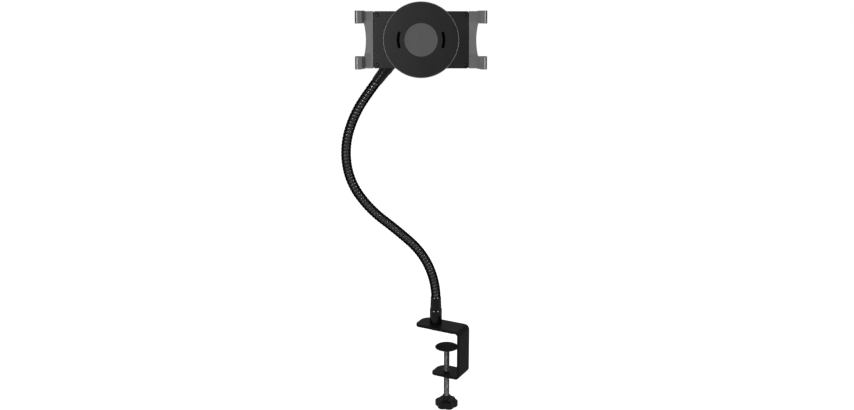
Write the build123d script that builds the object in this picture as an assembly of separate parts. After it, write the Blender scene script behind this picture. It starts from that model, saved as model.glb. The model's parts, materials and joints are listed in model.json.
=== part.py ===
from build123d import *
import math
import os

# Millimetres and degrees. The origin is the middle of the desk face of the upper jaw, on the clamp
# screw's axis. +Z is up and the tablet holder faces -Y.

# Bent clamp bar
clamp_turn = 26.8
bar_width = 36.5
bar_thickness = 4.5
bar_bend_radius = 5.0
bar_corner_radius = 13.5
clamp_height = 81.9
screw_to_neck = 19.4
screw_to_limb = 30.8
upper_tip_reach = 48.4
lower_tip_reach = 21.8

# Rubber face of the upper jaw
jaw_pad_length = 37.0
jaw_pad_margin = 1.0
jaw_pad_thickness = 0.8
jaw_pad_corner = 3.0

# Clamp screw, its pressure plate and its knob
jaw_opening = 30.5
screw_diameter = 8.0
screw_length = 96.6
rivet_diameter = 7.2
rivet_neck_diameter = 5.2
rivet_thickness = 1.8
plate_diameter = 37.0
plate_thickness = 3.6
plate_rim = 0.9
plate_pad_thickness = 0.8
plate_pad_margin = 1.2
plate_hub_diameter = 14.0
knob_diameter = 36.4
knob_thickness = 12.5
knob_lobes = 6
knob_lobe_diameter = 11.0
knob_turn = -10.0
knob_edge = 2.0
knob_cone_foot_diameter = 18.0
knob_cone_top_diameter = 10.0
knob_cone_height = 7.1
knob_floor = 3.0

# Neck: eight bent lengths, each turned from the one below by so many degrees in the plane of the bend
neck_diameter = 14.6
neck_bore = 9.0
core_bore = 5.0
segment_length = 53.3
segment_bends = [22.8, 24.3, 4.0, -16.9, -26.7, -23.8, -17.4, -3.3]
neck_lead = 34.0
neck_tail = 18.0
link_gap = 0.3
core_fit = 0.1

# Metal ends of the neck
socket_diameter = 19.0
socket_base = 8.0
socket_edge = 0.6
base_socket_height = 25.0
top_socket_length = 34.0
ferrule_length = 20.0
ferrule_wide_diameter = 17.4
ferrule_narrow_diameter = 16.0
top_ferrule_overlap = 2.0
crank_seat = 17.0
base_screw_diameter = 6.0
base_screw_head_diameter = 11.0
base_screw_grip = 6.5

# Tilting knuckle behind the holder
holder_tilt = 10.0
knuckle_reach = 25.6
elbow_diameter = 11.0
elbow_ball_diameter = 11.8
tongue_drop = 15.6
tongue_thickness = 8.0
stop_step = 0.4
eye_diameter = 17.0
tilt_bolt_diameter = 6.0
tilt_washer_thickness = 0.8
cheek_thickness = 4.6
cheek_eye_diameter = 16.4
pin_sideways = -18.5
pin_depth = 50.0
tilt_knob_diameter = 26.0
tilt_knob_thickness = 11.0
tilt_knob_lobes = 5
tilt_knob_lobe_diameter = 7.0
tilt_knob_edge = 0.8
tilt_knob_roof = 2.5
tilt_nut_width = 10.0
tilt_nut_thickness = 5.0
tilt_bolt_end = 1.0

# Swivel behind the holder
swivel_plate_diameter = 64.0
swivel_plate_thickness = 4.0
swivel_plate_edge = 1.0
friction_washer_thickness = 1.0
friction_washer_diameter = 52.0
spigot_diameter = 26.0
retainer_diameter = 38.0
retainer_thickness = 2.0
swivel_screw_diameter = 5.0
swivel_screw_head_diameter = 9.0
swivel_screw_head_height = 2.4
swivel_screw_length = 9.0
swivel_screw_edge = 0.5

# Holder housing
body_width = 136.8
body_height = 82.1
body_corner = 2.5
disc_diameter = 109.0
disc_step = 2.5
disc_fillet = 5.0
housing_depth = 17.0
parting_depth = 9.0
housing_wall = 2.2
front_edge_radius = 1.2
rear_edge_radius = 2.0
cap_diameter = 47.0
cap_recess = 1.2
slot_radius = 33.0
slot_width = 4.2
slot_angle = 38.0
housing_screw_inset = 5.3
housing_screw_diameter = 3.0
housing_screw_head_diameter = 4.6
housing_screw_head_height = 1.6
housing_screw_recess = 1.2
housing_screw_length = 12.0
housing_boss_diameter = 7.2
cross_width = 2.6
cross_slot = 0.6
cross_depth = 0.6

# Sliding arms
arm_travel = 45.0
arm_gap = 0.4
bar_end_width = 13.6
bar_end_waist = 2.7
bar_end_front = 1.5
bar_end_back = 14.5
bar_end_corner = 0.8
rail_height = 11.0
rail_to_boss = 0.65
rail_thickness = 5.0
rail_length = 64.0
rail_front = 3.6
guide_rib_width = 2.0
guide_rib_pitch = 8.0
guide_rib_length = 34.0
rack_to_rail = 4.0
rack_overrun = 52.0
spare_teeth = 3
keeper_start = 14.0
keeper_end = 50.0
keeper_thickness = 1.6
keeper_depth = 8.0
pinion_module = 1.0
pinion_teeth = 16
pinion_pin_diameter = 4.0
pinion_boss_diameter = 9.0
tooth_head = 0.9
tooth_foot = 1.25
tooth_sink = 0.2
pin_end = 0.6
clip_thickness = 0.8
clip_diameter = 8.0
backlash = 0.25
pressure_angle = 20.0
peg_diameter = 2.4
peg_reach = 18.0
spring_post_reach = 59.0
spring_depth = 12.0
spring_diameter = 4.2
spring_wire = 1.2
spring_pitch = 2.8
spring_land = 0.3
spring_lead = 5.0

# Hooks at the ends of the arms
hook_length = 19.3
hook_overhang = 1.2
hook_depth = 12.2
hook_root = 3.0
hook_wall = 3.6
hook_base = 4.5
hook_lip_width = 8.9
hook_lip_back = 16.0
hook_lip_thickness = 2.0
hook_corner = 2.4
grip_lining = 1.2
grip_face = 1.0
grip_land = 3.0

# Hollows between a knob's lobes: their depth and rounding, in lobe radii
hollow_share = 0.72
hollow_round_share = 0.35

# Clearances
running_fit = 0.05
loose_fit = 0.1
seat_gap = 0.3

# How far a cutter or a joined solid reaches past the face that it starts from
bite = 1.0

top_face = jaw_pad_thickness + bar_thickness
lower_face = top_face - clamp_height
clamp = Rot(0, 0, -clamp_turn)
neck_foot = clamp * Location((-screw_to_neck, 0, top_face))
neck_base = Location(neck_foot.position) * Pos(0, 0, socket_base)
pitch_radius = pinion_module * pinion_teeth / 2
root_radius = pitch_radius - tooth_foot * pinion_module
tip_radius = pitch_radius + tooth_head * pinion_module
boss_room = housing_screw_inset + housing_boss_diameter / 2
rail_offset = body_height / 2 - boss_room - rail_to_boss - rail_height / 2
rack_back = rail_offset - rail_height / 2 - rack_to_rail
hook_reach = body_width / 2 + arm_gap + bar_end_width + hook_depth
hook_lip_inner = hook_reach - hook_lip_width


def rod(radius, start, end):
    """A round bar on the Z axis between two heights."""
    return Pos(0, 0, (start + end) / 2) * Cylinder(radius, abs(end - start))


def slab(x0, x1, y0, y1, z0, z1):
    """A rectangular block between two corners."""
    size = Box(abs(x1 - x0), abs(y1 - y0), abs(z1 - z0))
    return Pos((x0 + x1) / 2, (y0 + y1) / 2, (z0 + z1) / 2) * size


def lobed(outer_radius, lobe_radius, count, turn=0.0):
    """The outline of a knob with round lobes and soft hollows between them."""
    outline = Circle(outer_radius - hollow_share * lobe_radius)
    for spot in PolarLocations(outer_radius - lobe_radius, count, start_angle=turn):
        outline += spot * Circle(lobe_radius)
    return fillet(outline.vertices(), hollow_round_share * lobe_radius)


def ends(solid):
    """The edges of a solid's lowest and highest faces."""
    levels = solid.edges().group_by(Axis.Z)
    return levels[0] + levels[-1]


# Clamp


def bent_bar():
    """The C-shaped steel bar with its two jaws."""
    outside = screw_to_limb
    inside = outside - bar_thickness
    side = Polyline(
        (-upper_tip_reach, top_face),
        (outside, top_face),
        (outside, lower_face),
        (-lower_tip_reach, lower_face),
        (-lower_tip_reach, lower_face + bar_thickness),
        (inside, lower_face + bar_thickness),
        (inside, top_face - bar_thickness),
        (-upper_tip_reach, top_face - bar_thickness),
        close=True,
    )
    face = make_face(side)
    columns = face.vertices().group_by(Axis.X)
    face = fillet(columns[-1], bar_bend_radius + bar_thickness)
    face = fillet(face.vertices().filter_by(lambda v: abs(v.X - inside) < 0.01), bar_bend_radius)
    bar = extrude(Plane.XZ * face, bar_width / 2, both=True)
    tips = bar.edges().filter_by(Axis.Z).filter_by(lambda e: e.center().X < 0)
    bar = fillet(tips, bar_corner_radius)
    bar -= rod(screw_diameter / 2 + running_fit, lower_face - bite, lower_face + bar_thickness + bite)
    hole = Pos(-screw_to_neck, 0, 0) * base_screw_shape(running_fit)
    return clamp * (bar - hole)


def base_screw_shape(grow=0.0):
    """The countersunk screw that holds the neck's base socket, on its own axis."""
    shank = base_screw_diameter / 2 + grow
    head = base_screw_head_diameter / 2 + grow
    low = jaw_pad_thickness
    cone_height = head - shank
    cone = Pos(0, 0, low + cone_height / 2) * Cone(head, shank, cone_height)
    return cone + rod(shank, low + cone_height / 2, top_face + base_screw_grip + grow)


def jaw_pad():
    """Rubber on the underside of the upper jaw, which meets the desk."""
    width = bar_width - 2 * jaw_pad_margin
    outline = RectangleRounded(jaw_pad_length, width, jaw_pad_corner)
    return clamp * extrude(outline, jaw_pad_thickness)


def pressure_plate():
    """The pressed plate under the desk, riveted over the end of the screw."""
    top = -jaw_opening - plate_pad_thickness
    rim, hub = plate_diameter / 2, plate_hub_diameter / 2
    bottom = top - plate_thickness
    corners = [(0, top), (rim, top), (rim, top - plate_rim), (hub, bottom), (0, bottom)]
    plate = revolve(Plane.XZ * make_face(Polyline(*corners, close=True)), Axis.Z)
    plate -= rod(rivet_neck_diameter / 2 + loose_fit, bottom - bite, top)
    return plate - rod(rivet_diameter / 2 + loose_fit, top - rivet_thickness - 2 * loose_fit, top + bite)


def plate_pad():
    """Rubber face of the pressure plate."""
    pad = rod(plate_diameter / 2 - plate_pad_margin, -jaw_opening - plate_pad_thickness, -jaw_opening)
    return fillet(pad.edges().sort_by(Axis.Z)[-1], plate_pad_thickness / 3)


def clamp_screw():
    """The screw, with the riveted end that turns in the pressure plate."""
    top = -jaw_opening - plate_pad_thickness
    shoulder = top - plate_thickness - loose_fit
    screw = rod(screw_diameter / 2, shoulder - screw_length, shoulder)
    screw += rod(rivet_neck_diameter / 2, shoulder, top - loose_fit)
    return screw + rod(rivet_diameter / 2, top - rivet_thickness - loose_fit, top - loose_fit)


def screw_knob():
    """The lobed hand knob, moulded on the foot of the screw."""
    foot = -jaw_opening - plate_pad_thickness - plate_thickness - loose_fit - screw_length
    bottom = foot - knob_floor
    top = bottom + knob_thickness
    outline = lobed(knob_diameter / 2, knob_lobe_diameter / 2, knob_lobes, knob_turn)
    knob = Pos(0, 0, bottom) * extrude(outline, knob_thickness)
    knob = chamfer(ends(knob), knob_edge)
    cone = Cone(knob_cone_foot_diameter / 2, knob_cone_top_diameter / 2, knob_cone_height)
    knob += Pos(0, 0, top + knob_cone_height / 2) * cone
    return knob - rod(screw_diameter / 2 + running_fit, foot, top + knob_cone_height + bite)


# Neck


def bend_step(length, bend):
    """The move from the foot of a bent length to its head."""
    if bend == 0:
        return Location((0, 0, length))
    radius = length / math.radians(bend)
    across = -radius * (1 - math.cos(math.radians(bend)))
    return Location((across, 0, radius * math.sin(math.radians(bend))), (0, -bend, 0))


def bent_tube(outer, inner, length, bend):
    """A round tube bent evenly over its length."""
    ring = Circle(outer) - Circle(inner)
    if bend == 0:
        return extrude(ring, length)
    radius = length / math.radians(bend)
    turn = Axis((-radius, 0, 0), (0, -math.copysign(1, bend), 0))
    return revolve(ring, turn, revolution_arc=abs(bend))


def dome(outer, inner):
    """The rounded head of a neck length, centred on the point that it bends about."""
    height = math.sqrt(outer**2 - inner**2)
    middle = math.acos(inner / outer) / 2
    with BuildLine() as line:
        Line((inner, 0), (outer, 0))
        ThreePointArc((outer, 0), (outer * math.cos(middle), outer * math.sin(middle)), (inner, height))
        Line((inner, height), (inner, 0))
    return revolve(Plane.XZ * make_face(line.line), Axis.Z)


last_segment = len(segment_bends) - 1
arc_lengths = [segment_length] * last_segment + [segment_length - neck_tail]
joint_places = [neck_base * Pos(0, 0, neck_lead)]
for arc_length, bend in zip(arc_lengths, segment_bends):
    joint_places.append(joint_places[-1] * bend_step(arc_length, bend))
neck_end = joint_places[-1] * Pos(0, 0, neck_tail)
neck_radius = neck_diameter / 2
core_radius = neck_bore / 2 - core_fit


def neck_tube(index):
    """One length of the ribbed neck, with a domed head and a hollow foot for the one below."""
    ring = Circle(neck_radius) - Circle(neck_bore / 2)
    head = bend_step(arc_lengths[index], segment_bends[index])
    tube = bent_tube(neck_radius, neck_bore / 2, arc_lengths[index], segment_bends[index])
    if index == 0:
        tube += Pos(0, 0, -neck_lead) * extrude(ring, neck_lead)
    else:
        tube -= Sphere(neck_radius + link_gap)
    if index < last_segment:
        tube += head * dome(neck_radius, neck_bore / 2)
    else:
        tube += head * extrude(ring, neck_tail)
    return joint_places[index] * tube


def neck_core(index):
    """The wire core inside one length of the neck, short of the bending points at its ends."""
    foot_length = 0.0 if index == 0 else neck_radius + link_gap
    head_length = neck_bore / 4
    bend_rate = segment_bends[index] / arc_lengths[index]
    span = arc_lengths[index] - foot_length - head_length
    start = bend_step(foot_length, bend_rate * foot_length)
    core = start * bent_tube(core_radius, core_bore / 2, span, bend_rate * span)
    if index == 0:
        core += Pos(0, 0, -neck_lead) * extrude(Circle(core_radius) - Circle(core_bore / 2), neck_lead)
    return joint_places[index] * core


def ferrule():
    """The tapered sleeve that grips the neck, wide end at the origin."""
    sleeve = Pos(0, 0, ferrule_length / 2) * Cone(
        ferrule_wide_diameter / 2, ferrule_narrow_diameter / 2, ferrule_length
    )
    return sleeve - rod(neck_radius + running_fit, -bite, ferrule_length + bite)


def base_socket():
    """The round foot that holds the neck and is screwed to the upper jaw."""
    socket = rod(socket_diameter / 2, 0, base_socket_height)
    socket = chamfer(socket.edges().group_by(Axis.Z)[-1], socket_edge)
    socket -= rod(neck_radius + running_fit, socket_base, base_socket_height + bite)
    socket = Location(neck_foot.position) * socket
    return socket - Location((neck_foot.position.X, neck_foot.position.Y, 0)) * base_screw_shape(running_fit)


def base_screw():
    return Location((neck_foot.position.X, neck_foot.position.Y, 0)) * base_screw_shape()


def base_ferrule():
    return Location(neck_foot.position) * Pos(0, 0, base_socket_height) * ferrule()


def top_ferrule():
    return neck_end * Pos(0, 0, top_ferrule_overlap) * Rot(180, 0, 0) * ferrule()


def top_socket():
    """The socket at the upper end, with the pin of the knuckle in its far end."""
    socket = rod(socket_diameter / 2, 0, top_socket_length)
    socket = chamfer(socket.edges().group_by(Axis.Z)[0], socket_edge)
    socket -= rod(elbow_diameter / 2 + running_fit, crank_seat, top_socket_length + bite)
    return neck_end * Pos(0, 0, top_ferrule_overlap) * socket


# Tilting knuckle

pin_along_neck = top_ferrule_overlap + top_socket_length + knuckle_reach
pin_point = (neck_end * Pos(0, 0, pin_along_neck)).position
tilt = math.radians(holder_tilt)
holder = Location(Plane(origin=pin_point, x_dir=(1, 0, 0), z_dir=(0, -math.cos(tilt), math.sin(tilt))))
holder = holder * Pos(-pin_sideways, 0, pin_depth)
across_pin = Location(pin_point, (0, 90, 0))
plate_back = -housing_depth - friction_washer_thickness - 2 * running_fit - swivel_plate_thickness
cheek_inner = tongue_thickness / 2 + tilt_washer_thickness + 2 * running_fit


def tilt_knuckle():
    """The cranked casting between the neck's top socket and the tilt bolt."""
    neck_angle = math.radians(-sum(segment_bends))
    slant = tongue_drop / math.cos(neck_angle)
    stem_top = pin_along_neck - slant
    stem = rod(elbow_diameter / 2, top_ferrule_overlap + crank_seat + running_fit, stem_top)
    ball = Pos(0, 0, stem_top) * Sphere(elbow_ball_diameter / 2)
    sideways = tongue_drop * math.tan(neck_angle)
    crank = Location(pin_point) * Pos(-sideways / 2, 0, -tongue_drop)
    crank = crank * Rot(0, 90, 0) * Cylinder(elbow_diameter / 2, sideways)
    stop = Location(pin_point) * Pos(0, 0, -tongue_drop) * Rot(0, 90, 0)
    stop = stop * Cylinder(elbow_diameter / 2 + stop_step, tongue_thickness)
    eye = across_pin * Cylinder(eye_diameter / 2, tongue_thickness)
    web = Box(tongue_thickness, elbow_diameter, tongue_drop)
    web = Location(pin_point) * Pos(0, 0, -tongue_drop / 2) * web
    knuckle = neck_end * (stem + ball) + crank + stop + eye + web
    return knuckle - across_pin * Cylinder(tilt_bolt_diameter / 2 + running_fit, 3 * tongue_thickness)


def tilt_bracket():
    """The swivel plate with its two cheeks and the spigot that the holder turns on."""
    bracket = rod(swivel_plate_diameter / 2, plate_back, plate_back + swivel_plate_thickness)
    bracket = chamfer(bracket.edges().group_by(Axis.Z)[0], swivel_plate_edge)
    spigot_top = -housing_depth + housing_wall + loose_fit
    bracket += rod(spigot_diameter / 2 - running_fit, plate_back + bite, spigot_top)
    pin = Pos(pin_sideways, 0, -pin_depth) * Rot(0, 90, 0)
    for side in (-1, 1):
        near, far = side * cheek_inner, side * (cheek_inner + cheek_thickness)
        reach = cheek_eye_diameter / 2
        cheek = slab(pin_sideways + near, pin_sideways + far, -reach, reach, -pin_depth, plate_back + bite)
        round_end = pin * Pos(0, 0, (near + far) / 2) * Cylinder(reach, cheek_thickness)
        bracket += cheek + round_end
    bracket -= pin * Cylinder(tilt_bolt_diameter / 2 + running_fit, 2 * swivel_plate_diameter)
    hole_end = spigot_top - swivel_screw_length
    bracket -= rod(swivel_screw_diameter / 2 + running_fit, hole_end, spigot_top + bite)
    return holder * bracket


def tilt_washers():
    """Two plastic washers between the eye and the cheeks."""
    ring = Cylinder(cheek_eye_diameter / 2, tilt_washer_thickness)
    ring -= Cylinder(tilt_bolt_diameter / 2 + running_fit, 2 * tilt_washer_thickness)
    middle = tongue_thickness / 2 + running_fit + tilt_washer_thickness / 2
    return Compound([holder_pin * Pos(0, 0, side * middle) * ring for side in (-1, 1)])


holder_pin = holder * Pos(pin_sideways, 0, -pin_depth) * Rot(0, 90, 0)
cheek_outer = cheek_inner + cheek_thickness


def tilt_bolt():
    """The bolt through the cheeks, from the nut to inside the knob."""
    start = -cheek_outer - running_fit - tilt_nut_thickness - tilt_bolt_end
    end = cheek_outer + seat_gap + tilt_knob_thickness - tilt_knob_roof
    return holder_pin * rod(tilt_bolt_diameter / 2, start, end)


def tilt_nut():
    """The hexagon nut on the far cheek."""
    nut = extrude(RegularPolygon(tilt_nut_width / 2, 6, major_radius=False), -tilt_nut_thickness)
    nut -= Cylinder(tilt_bolt_diameter / 2 + running_fit, 4 * tilt_nut_thickness)
    return holder_pin * Pos(0, 0, -cheek_outer - running_fit) * nut


def tilt_knob():
    """The small lobed knob that tightens the tilt."""
    outline = lobed(tilt_knob_diameter / 2, tilt_knob_lobe_diameter / 2, tilt_knob_lobes)
    knob = extrude(outline, tilt_knob_thickness)
    knob = chamfer(ends(knob), tilt_knob_edge)
    knob -= rod(tilt_bolt_diameter / 2 + running_fit, -bite, tilt_knob_thickness - tilt_knob_roof)
    return holder_pin * Pos(0, 0, cheek_outer + seat_gap) * knob


# Swivel


def friction_washer():
    top = -housing_depth - running_fit
    low = top - friction_washer_thickness
    ring = rod(friction_washer_diameter / 2, low, top)
    return holder * (ring - rod(spigot_diameter / 2 + loose_fit, low - bite, top + bite))


def swivel_retainer():
    """The steel washer inside the housing that keeps the holder on its spigot."""
    low = -housing_depth + housing_wall + loose_fit
    top = low + retainer_thickness
    washer = rod(retainer_diameter / 2, low, top)
    return holder * (washer - rod(swivel_screw_diameter / 2 + running_fit, low - bite, top + bite))


def swivel_screw():
    low = -housing_depth + housing_wall + loose_fit
    top = low + retainer_thickness
    shank = rod(swivel_screw_diameter / 2, low - swivel_screw_length + bite, top)
    head = rod(swivel_screw_head_diameter / 2, top, top + swivel_screw_head_height)
    return holder * (shank + chamfer(head.edges().group_by(Axis.Z)[-1], swivel_screw_edge))


# Holder housing


def body_outline():
    """The plate with the round disc standing out above and below it."""
    outline = RectangleRounded(body_width, body_height, body_corner) + Circle(disc_diameter / 2)
    inner_corners = sorted(outline.vertices(), key=lambda v: abs(v.X))[:4]
    return fillet(inner_corners, disc_fillet)


def screw_spots():
    x = body_width / 2 - housing_screw_inset
    y = body_height / 2 - housing_screw_inset
    return [Pos(i * x, j * y, 0) for i in (-1, 1) for j in (-1, 1)]


def guide_ribs(start, end):
    """Ribs along both edges of each rail, between two depths, out to the ends of the housing."""
    outer = body_width / 2
    ribs = []
    for side in (-1, 1):
        for level in (-1, 1):
            for half in (-1, 1):
                y = level * rail_offset + half * guide_rib_pitch / 2
                x0, x1 = side * (outer - housing_wall - guide_rib_length), side * outer
                ribs.append(slab(x0, x1, y - guide_rib_width / 2, y + guide_rib_width / 2, start, end))
    return ribs


def front_housing():
    """The front shell: ribs, keepers and bosses stand on the ceiling of its hollow."""
    outline = body_outline()
    shell = extrude(outline, -parting_depth)
    shell = fillet(shell.faces().sort_by(Axis.Z)[-1].edges(), front_edge_radius)
    disc = rod(disc_diameter / 2, -housing_wall, disc_step)
    shell += fillet(disc.edges().sort_by(Axis.Z)[-1], front_edge_radius)
    hollow = Pos(0, 0, -housing_wall) * extrude(offset(outline, -housing_wall), housing_wall - parting_depth)
    hollow += rod(disc_diameter / 2 - housing_wall, -parting_depth, disc_step - housing_wall)
    shell -= hollow
    rail_face = -rail_front + running_fit
    keeper = rack_back + loose_fit
    posts = [spot * rod(housing_boss_diameter / 2, -parting_depth, disc_step) for spot in screw_spots()]
    posts.append(rod(pinion_boss_diameter / 2, rail_face, disc_step))
    for level in (-1, 1):
        for side in (-1, 1):
            x0, x1 = side * keeper_start, side * keeper_end
            y0, y1 = level * keeper, level * (keeper + keeper_thickness)
            posts.append(slab(x0, x1, y0, y1, -keeper_depth, disc_step))
    for post in posts + guide_ribs(rail_face, disc_step):
        shell += post & hollow
    head_floor = -housing_screw_recess - housing_screw_head_height
    for spot in screw_spots():
        shell -= spot * rod(housing_screw_head_diameter / 2 + loose_fit, head_floor - loose_fit, bite)
        shell -= spot * rod(housing_screw_diameter / 2 + loose_fit, -parting_depth - bite, 0)
    for side in (-1, 1):
        x0, x1 = side * (body_width / 2 - 2 * housing_wall), side * (body_width / 2 + bite)
        for level in (-1, 1):
            low = level * rail_offset - rail_height / 2 - loose_fit
            high = level * rail_offset + rail_height / 2 + loose_fit
            shell -= slab(x0, x1, low, high, -parting_depth - bite, rail_face)
        near = -side * (pitch_radius - pinion_module - loose_fit)
        far = -side * (rack_back + loose_fit)
        shell -= slab(x0, x1, near, far, -parting_depth - bite, rail_face)
    shell -= rod(cap_diameter / 2 + loose_fit, disc_step - cap_recess, disc_step + bite)
    arc = Circle(slot_radius + slot_width / 2) - Circle(slot_radius - slot_width / 2)
    wedge_x = 2 * slot_radius
    wedge_y = wedge_x * math.tan(math.radians(slot_angle / 2))
    for side in (-1, 1):
        corners = [(0, 0), (side * wedge_x, -wedge_y), (side * wedge_x, wedge_y)]
        wedge = make_face(Polyline(*corners, close=True))
        shell -= Pos(0, 0, -housing_wall) * extrude(arc & wedge, 2 * housing_wall + disc_step)
    shell -= rod(pinion_pin_diameter / 2 + running_fit, -parting_depth, -running_fit)
    return holder * shell


def rear_housing():
    """The rear shell: ribs, posts and bosses stand on the floor of its hollow."""
    outline = body_outline()
    shell = Pos(0, 0, -parting_depth) * extrude(outline, -(housing_depth - parting_depth))
    shell = fillet(shell.faces().sort_by(Axis.Z)[0].edges(), rear_edge_radius)
    floor = -housing_depth + housing_wall
    hollow = Pos(0, 0, floor) * extrude(offset(outline, -housing_wall), -parting_depth - floor)
    shell -= hollow
    posts = guide_ribs(-housing_depth, -rail_front - rail_thickness - running_fit)
    for side in (-1, 1):
        post = Pos(side * spring_post_reach, side * rail_offset, 0)
        posts.append(post * rod(peg_diameter / 2, -housing_depth, -parting_depth))
    for spot in screw_spots():
        posts.append(spot * rod(housing_boss_diameter / 2, -housing_depth, -parting_depth))
    for post in posts:
        shell += post & hollow
    depth = -housing_screw_recess - housing_screw_head_height - housing_screw_length - loose_fit
    for spot in screw_spots():
        shell -= spot * rod(housing_screw_diameter / 2 + running_fit, depth, -parting_depth + bite)
    shell -= rod(spigot_diameter / 2 + running_fit, -housing_depth - bite, floor + bite)
    return holder * shell


def centre_cap():
    """The plain round inlay in the middle of the disc."""
    return holder * rod(cap_diameter / 2, disc_step - cap_recess, disc_step)


def housing_screws():
    top = -housing_screw_recess
    head = rod(housing_screw_head_diameter / 2, top - housing_screw_head_height, top)
    shank_end = top - housing_screw_head_height - housing_screw_length
    screw = head + rod(housing_screw_diameter / 2, shank_end, top - housing_screw_head_height)
    cross = Box(cross_width, cross_slot, 2 * cross_depth) + Box(cross_slot, cross_width, 2 * cross_depth)
    screw -= Pos(0, 0, top) * cross
    return Compound([holder * spot * screw for spot in screw_spots()])


# Arms and their drive


def tooth_half_angle(radius):
    """Half the angle that a pinion tooth spans at a radius, in radians."""
    base_radius = pitch_radius * math.cos(math.radians(pressure_angle))
    lean = math.radians(pressure_angle)
    here = math.acos(min(1, base_radius / max(radius, base_radius)))
    half = math.pi / (2 * pinion_teeth) - backlash / (4 * pitch_radius)
    return half + (math.tan(lean) - lean) - (math.tan(here) - here)


def drive_pinion():
    """The gear that makes the two arms move together."""
    base_radius = pitch_radius * math.cos(math.radians(pressure_angle))
    steps = [base_radius + (tip_radius - base_radius) * i / 4 for i in range(5)]
    flank = [(root_radius - tooth_sink, tooth_half_angle(base_radius))]
    flank += [(r, tooth_half_angle(r)) for r in steps]
    outline = [(r * math.cos(-a), r * math.sin(-a)) for r, a in flank]
    outline += [(r * math.cos(a), r * math.sin(a)) for r, a in reversed(flank)]
    tooth = make_face(Polyline(*outline, close=True))
    gear = Circle(root_radius)
    for index in range(pinion_teeth):
        gear += Rot(0, 0, (index + 0.5) * 360 / pinion_teeth) * tooth
    low = -rail_front - rail_thickness
    gear = Pos(0, 0, low) * extrude(gear, rail_thickness - running_fit)
    return holder * (gear - rod(pinion_pin_diameter / 2 + running_fit, low - bite, 0))


def pinion_pin():
    low = -rail_front - rail_thickness - 2 * running_fit - clip_thickness - pin_end
    return holder * rod(pinion_pin_diameter / 2, low, -2 * running_fit)


def pinion_clip():
    top = -rail_front - rail_thickness - running_fit
    low = top - clip_thickness
    ring = rod(clip_diameter / 2, low, top)
    return holder * (ring - rod(pinion_pin_diameter / 2 + running_fit, low - bite, top + bite))


def rack_bar():
    """The toothed bar that reaches past the pinion from the right arm."""
    low, high = -rail_front - rail_thickness, -rail_front
    root = -pitch_radius - tooth_foot * pinion_module
    tip = -pitch_radius + tooth_head * pinion_module
    bar = slab(-rack_overrun, body_width / 2 + arm_gap + bite, -rack_back, root, low, high)
    pitch = math.pi * pinion_module
    lean = math.tan(math.radians(pressure_angle))
    half = pitch / 4 - backlash / 4
    foot = half + tooth_foot * pinion_module * lean
    crown = half - tooth_head * pinion_module * lean
    sunk = root - tooth_sink
    corners = [(-foot, sunk), (foot, sunk), (foot, root), (crown, tip), (-crown, tip), (-foot, root)]
    tooth = make_face(Polyline(*corners, close=True))
    first = -math.floor((rack_overrun - foot) / pitch)
    teeth = Sketch() + [Pos(i * pitch, 0, 0) * tooth for i in range(first, spare_teeth + 1)]
    return bar + Pos(0, 0, low) * extrude(teeth, high - low)


def hook_profile():
    """The section of a hook across its length: base, outer wall and lip."""
    front = -bar_end_front
    inner = body_width / 2 + arm_gap + bar_end_width - hook_root
    section = Pos((inner + hook_reach) / 2, front - hook_base / 2) * Rectangle(hook_reach - inner, hook_base)
    top = hook_lip_back + hook_lip_thickness
    low = front - hook_base
    section += Pos(hook_reach - hook_wall / 2, (low + top) / 2) * Rectangle(hook_wall, top - low)
    lip = Rectangle(hook_reach - hook_lip_inner, hook_lip_thickness)
    section += Pos((hook_reach + hook_lip_inner) / 2, top - hook_lip_thickness / 2) * lip
    outer = section.vertices().filter_by(lambda v: abs(v.X - hook_reach) < 0.01)
    return fillet(outer, hook_corner)


def grip_profile():
    """The section of the rubber that lines a hook and folds over its lip."""
    wall = hook_reach - hook_wall
    back = hook_lip_back
    tip = hook_lip_inner - grip_lining
    front = hook_lip_back + hook_lip_thickness
    pieces = [
        (wall - grip_lining, wall, -bar_end_front, back),
        (tip, wall, back - grip_lining, back),
        (tip, hook_lip_inner, back - grip_lining, front + grip_face),
        (tip, hook_reach - grip_land, front, front + grip_face),
    ]
    section = Sketch()
    for x0, x1, y0, y1 in pieces:
        section += Pos((x0 + x1) / 2, (y0 + y1) / 2) * Rectangle(x1 - x0, y1 - y0)
    return section


def along_hooks(section):
    """A hook section drawn out over both hooks of one arm."""
    half = body_height / 2 + hook_overhang - hook_length / 2
    upright = Plane(origin=(0, 0, 0), x_dir=(1, 0, 0), z_dir=(0, -1, 0))
    bar = extrude(upright * section, hook_length / 2, both=True)
    return [Pos(0, level * half, 0) * bar for level in (-1, 1)]


def arm():
    """The right arm: end bar, two rails, the rack, the spring peg and two hooks."""
    inner = body_width / 2 + arm_gap
    outer = inner + bar_end_width
    half = body_height / 2
    shoulder = half + hook_overhang - hook_length
    with BuildLine() as outline:
        upper = [(outer, shoulder), (outer, half), (inner, half)]
        Polyline(*upper, *[(x, -y) for x, y in reversed(upper)])
        ThreePointArc((outer, -shoulder), (outer - bar_end_waist, 0), (outer, shoulder))
    end_bar = extrude(make_face(outline.line), bar_end_back - bar_end_front)
    end_bar = Pos(0, 0, -bar_end_back) * end_bar
    corners = end_bar.edges().filter_by(Axis.Z).filter_by(lambda e: abs(e.center().X - inner) < 0.01)
    piece = fillet(corners, bar_end_corner)
    low, high = -rail_front - rail_thickness, -rail_front
    for level in (-1, 1):
        y = level * rail_offset
        piece += slab(inner - rail_length, inner + bite, y - rail_height / 2, y + rail_height / 2, low, high)
    piece += rack_bar()
    peg_end = -spring_depth - spring_diameter / 3
    piece += Pos(peg_reach, -rail_offset, 0) * rod(peg_diameter / 2, peg_end, low + bite)
    for hook in along_hooks(hook_profile()):
        piece += hook
    return piece


def grips():
    return along_hooks(grip_profile())


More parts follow.
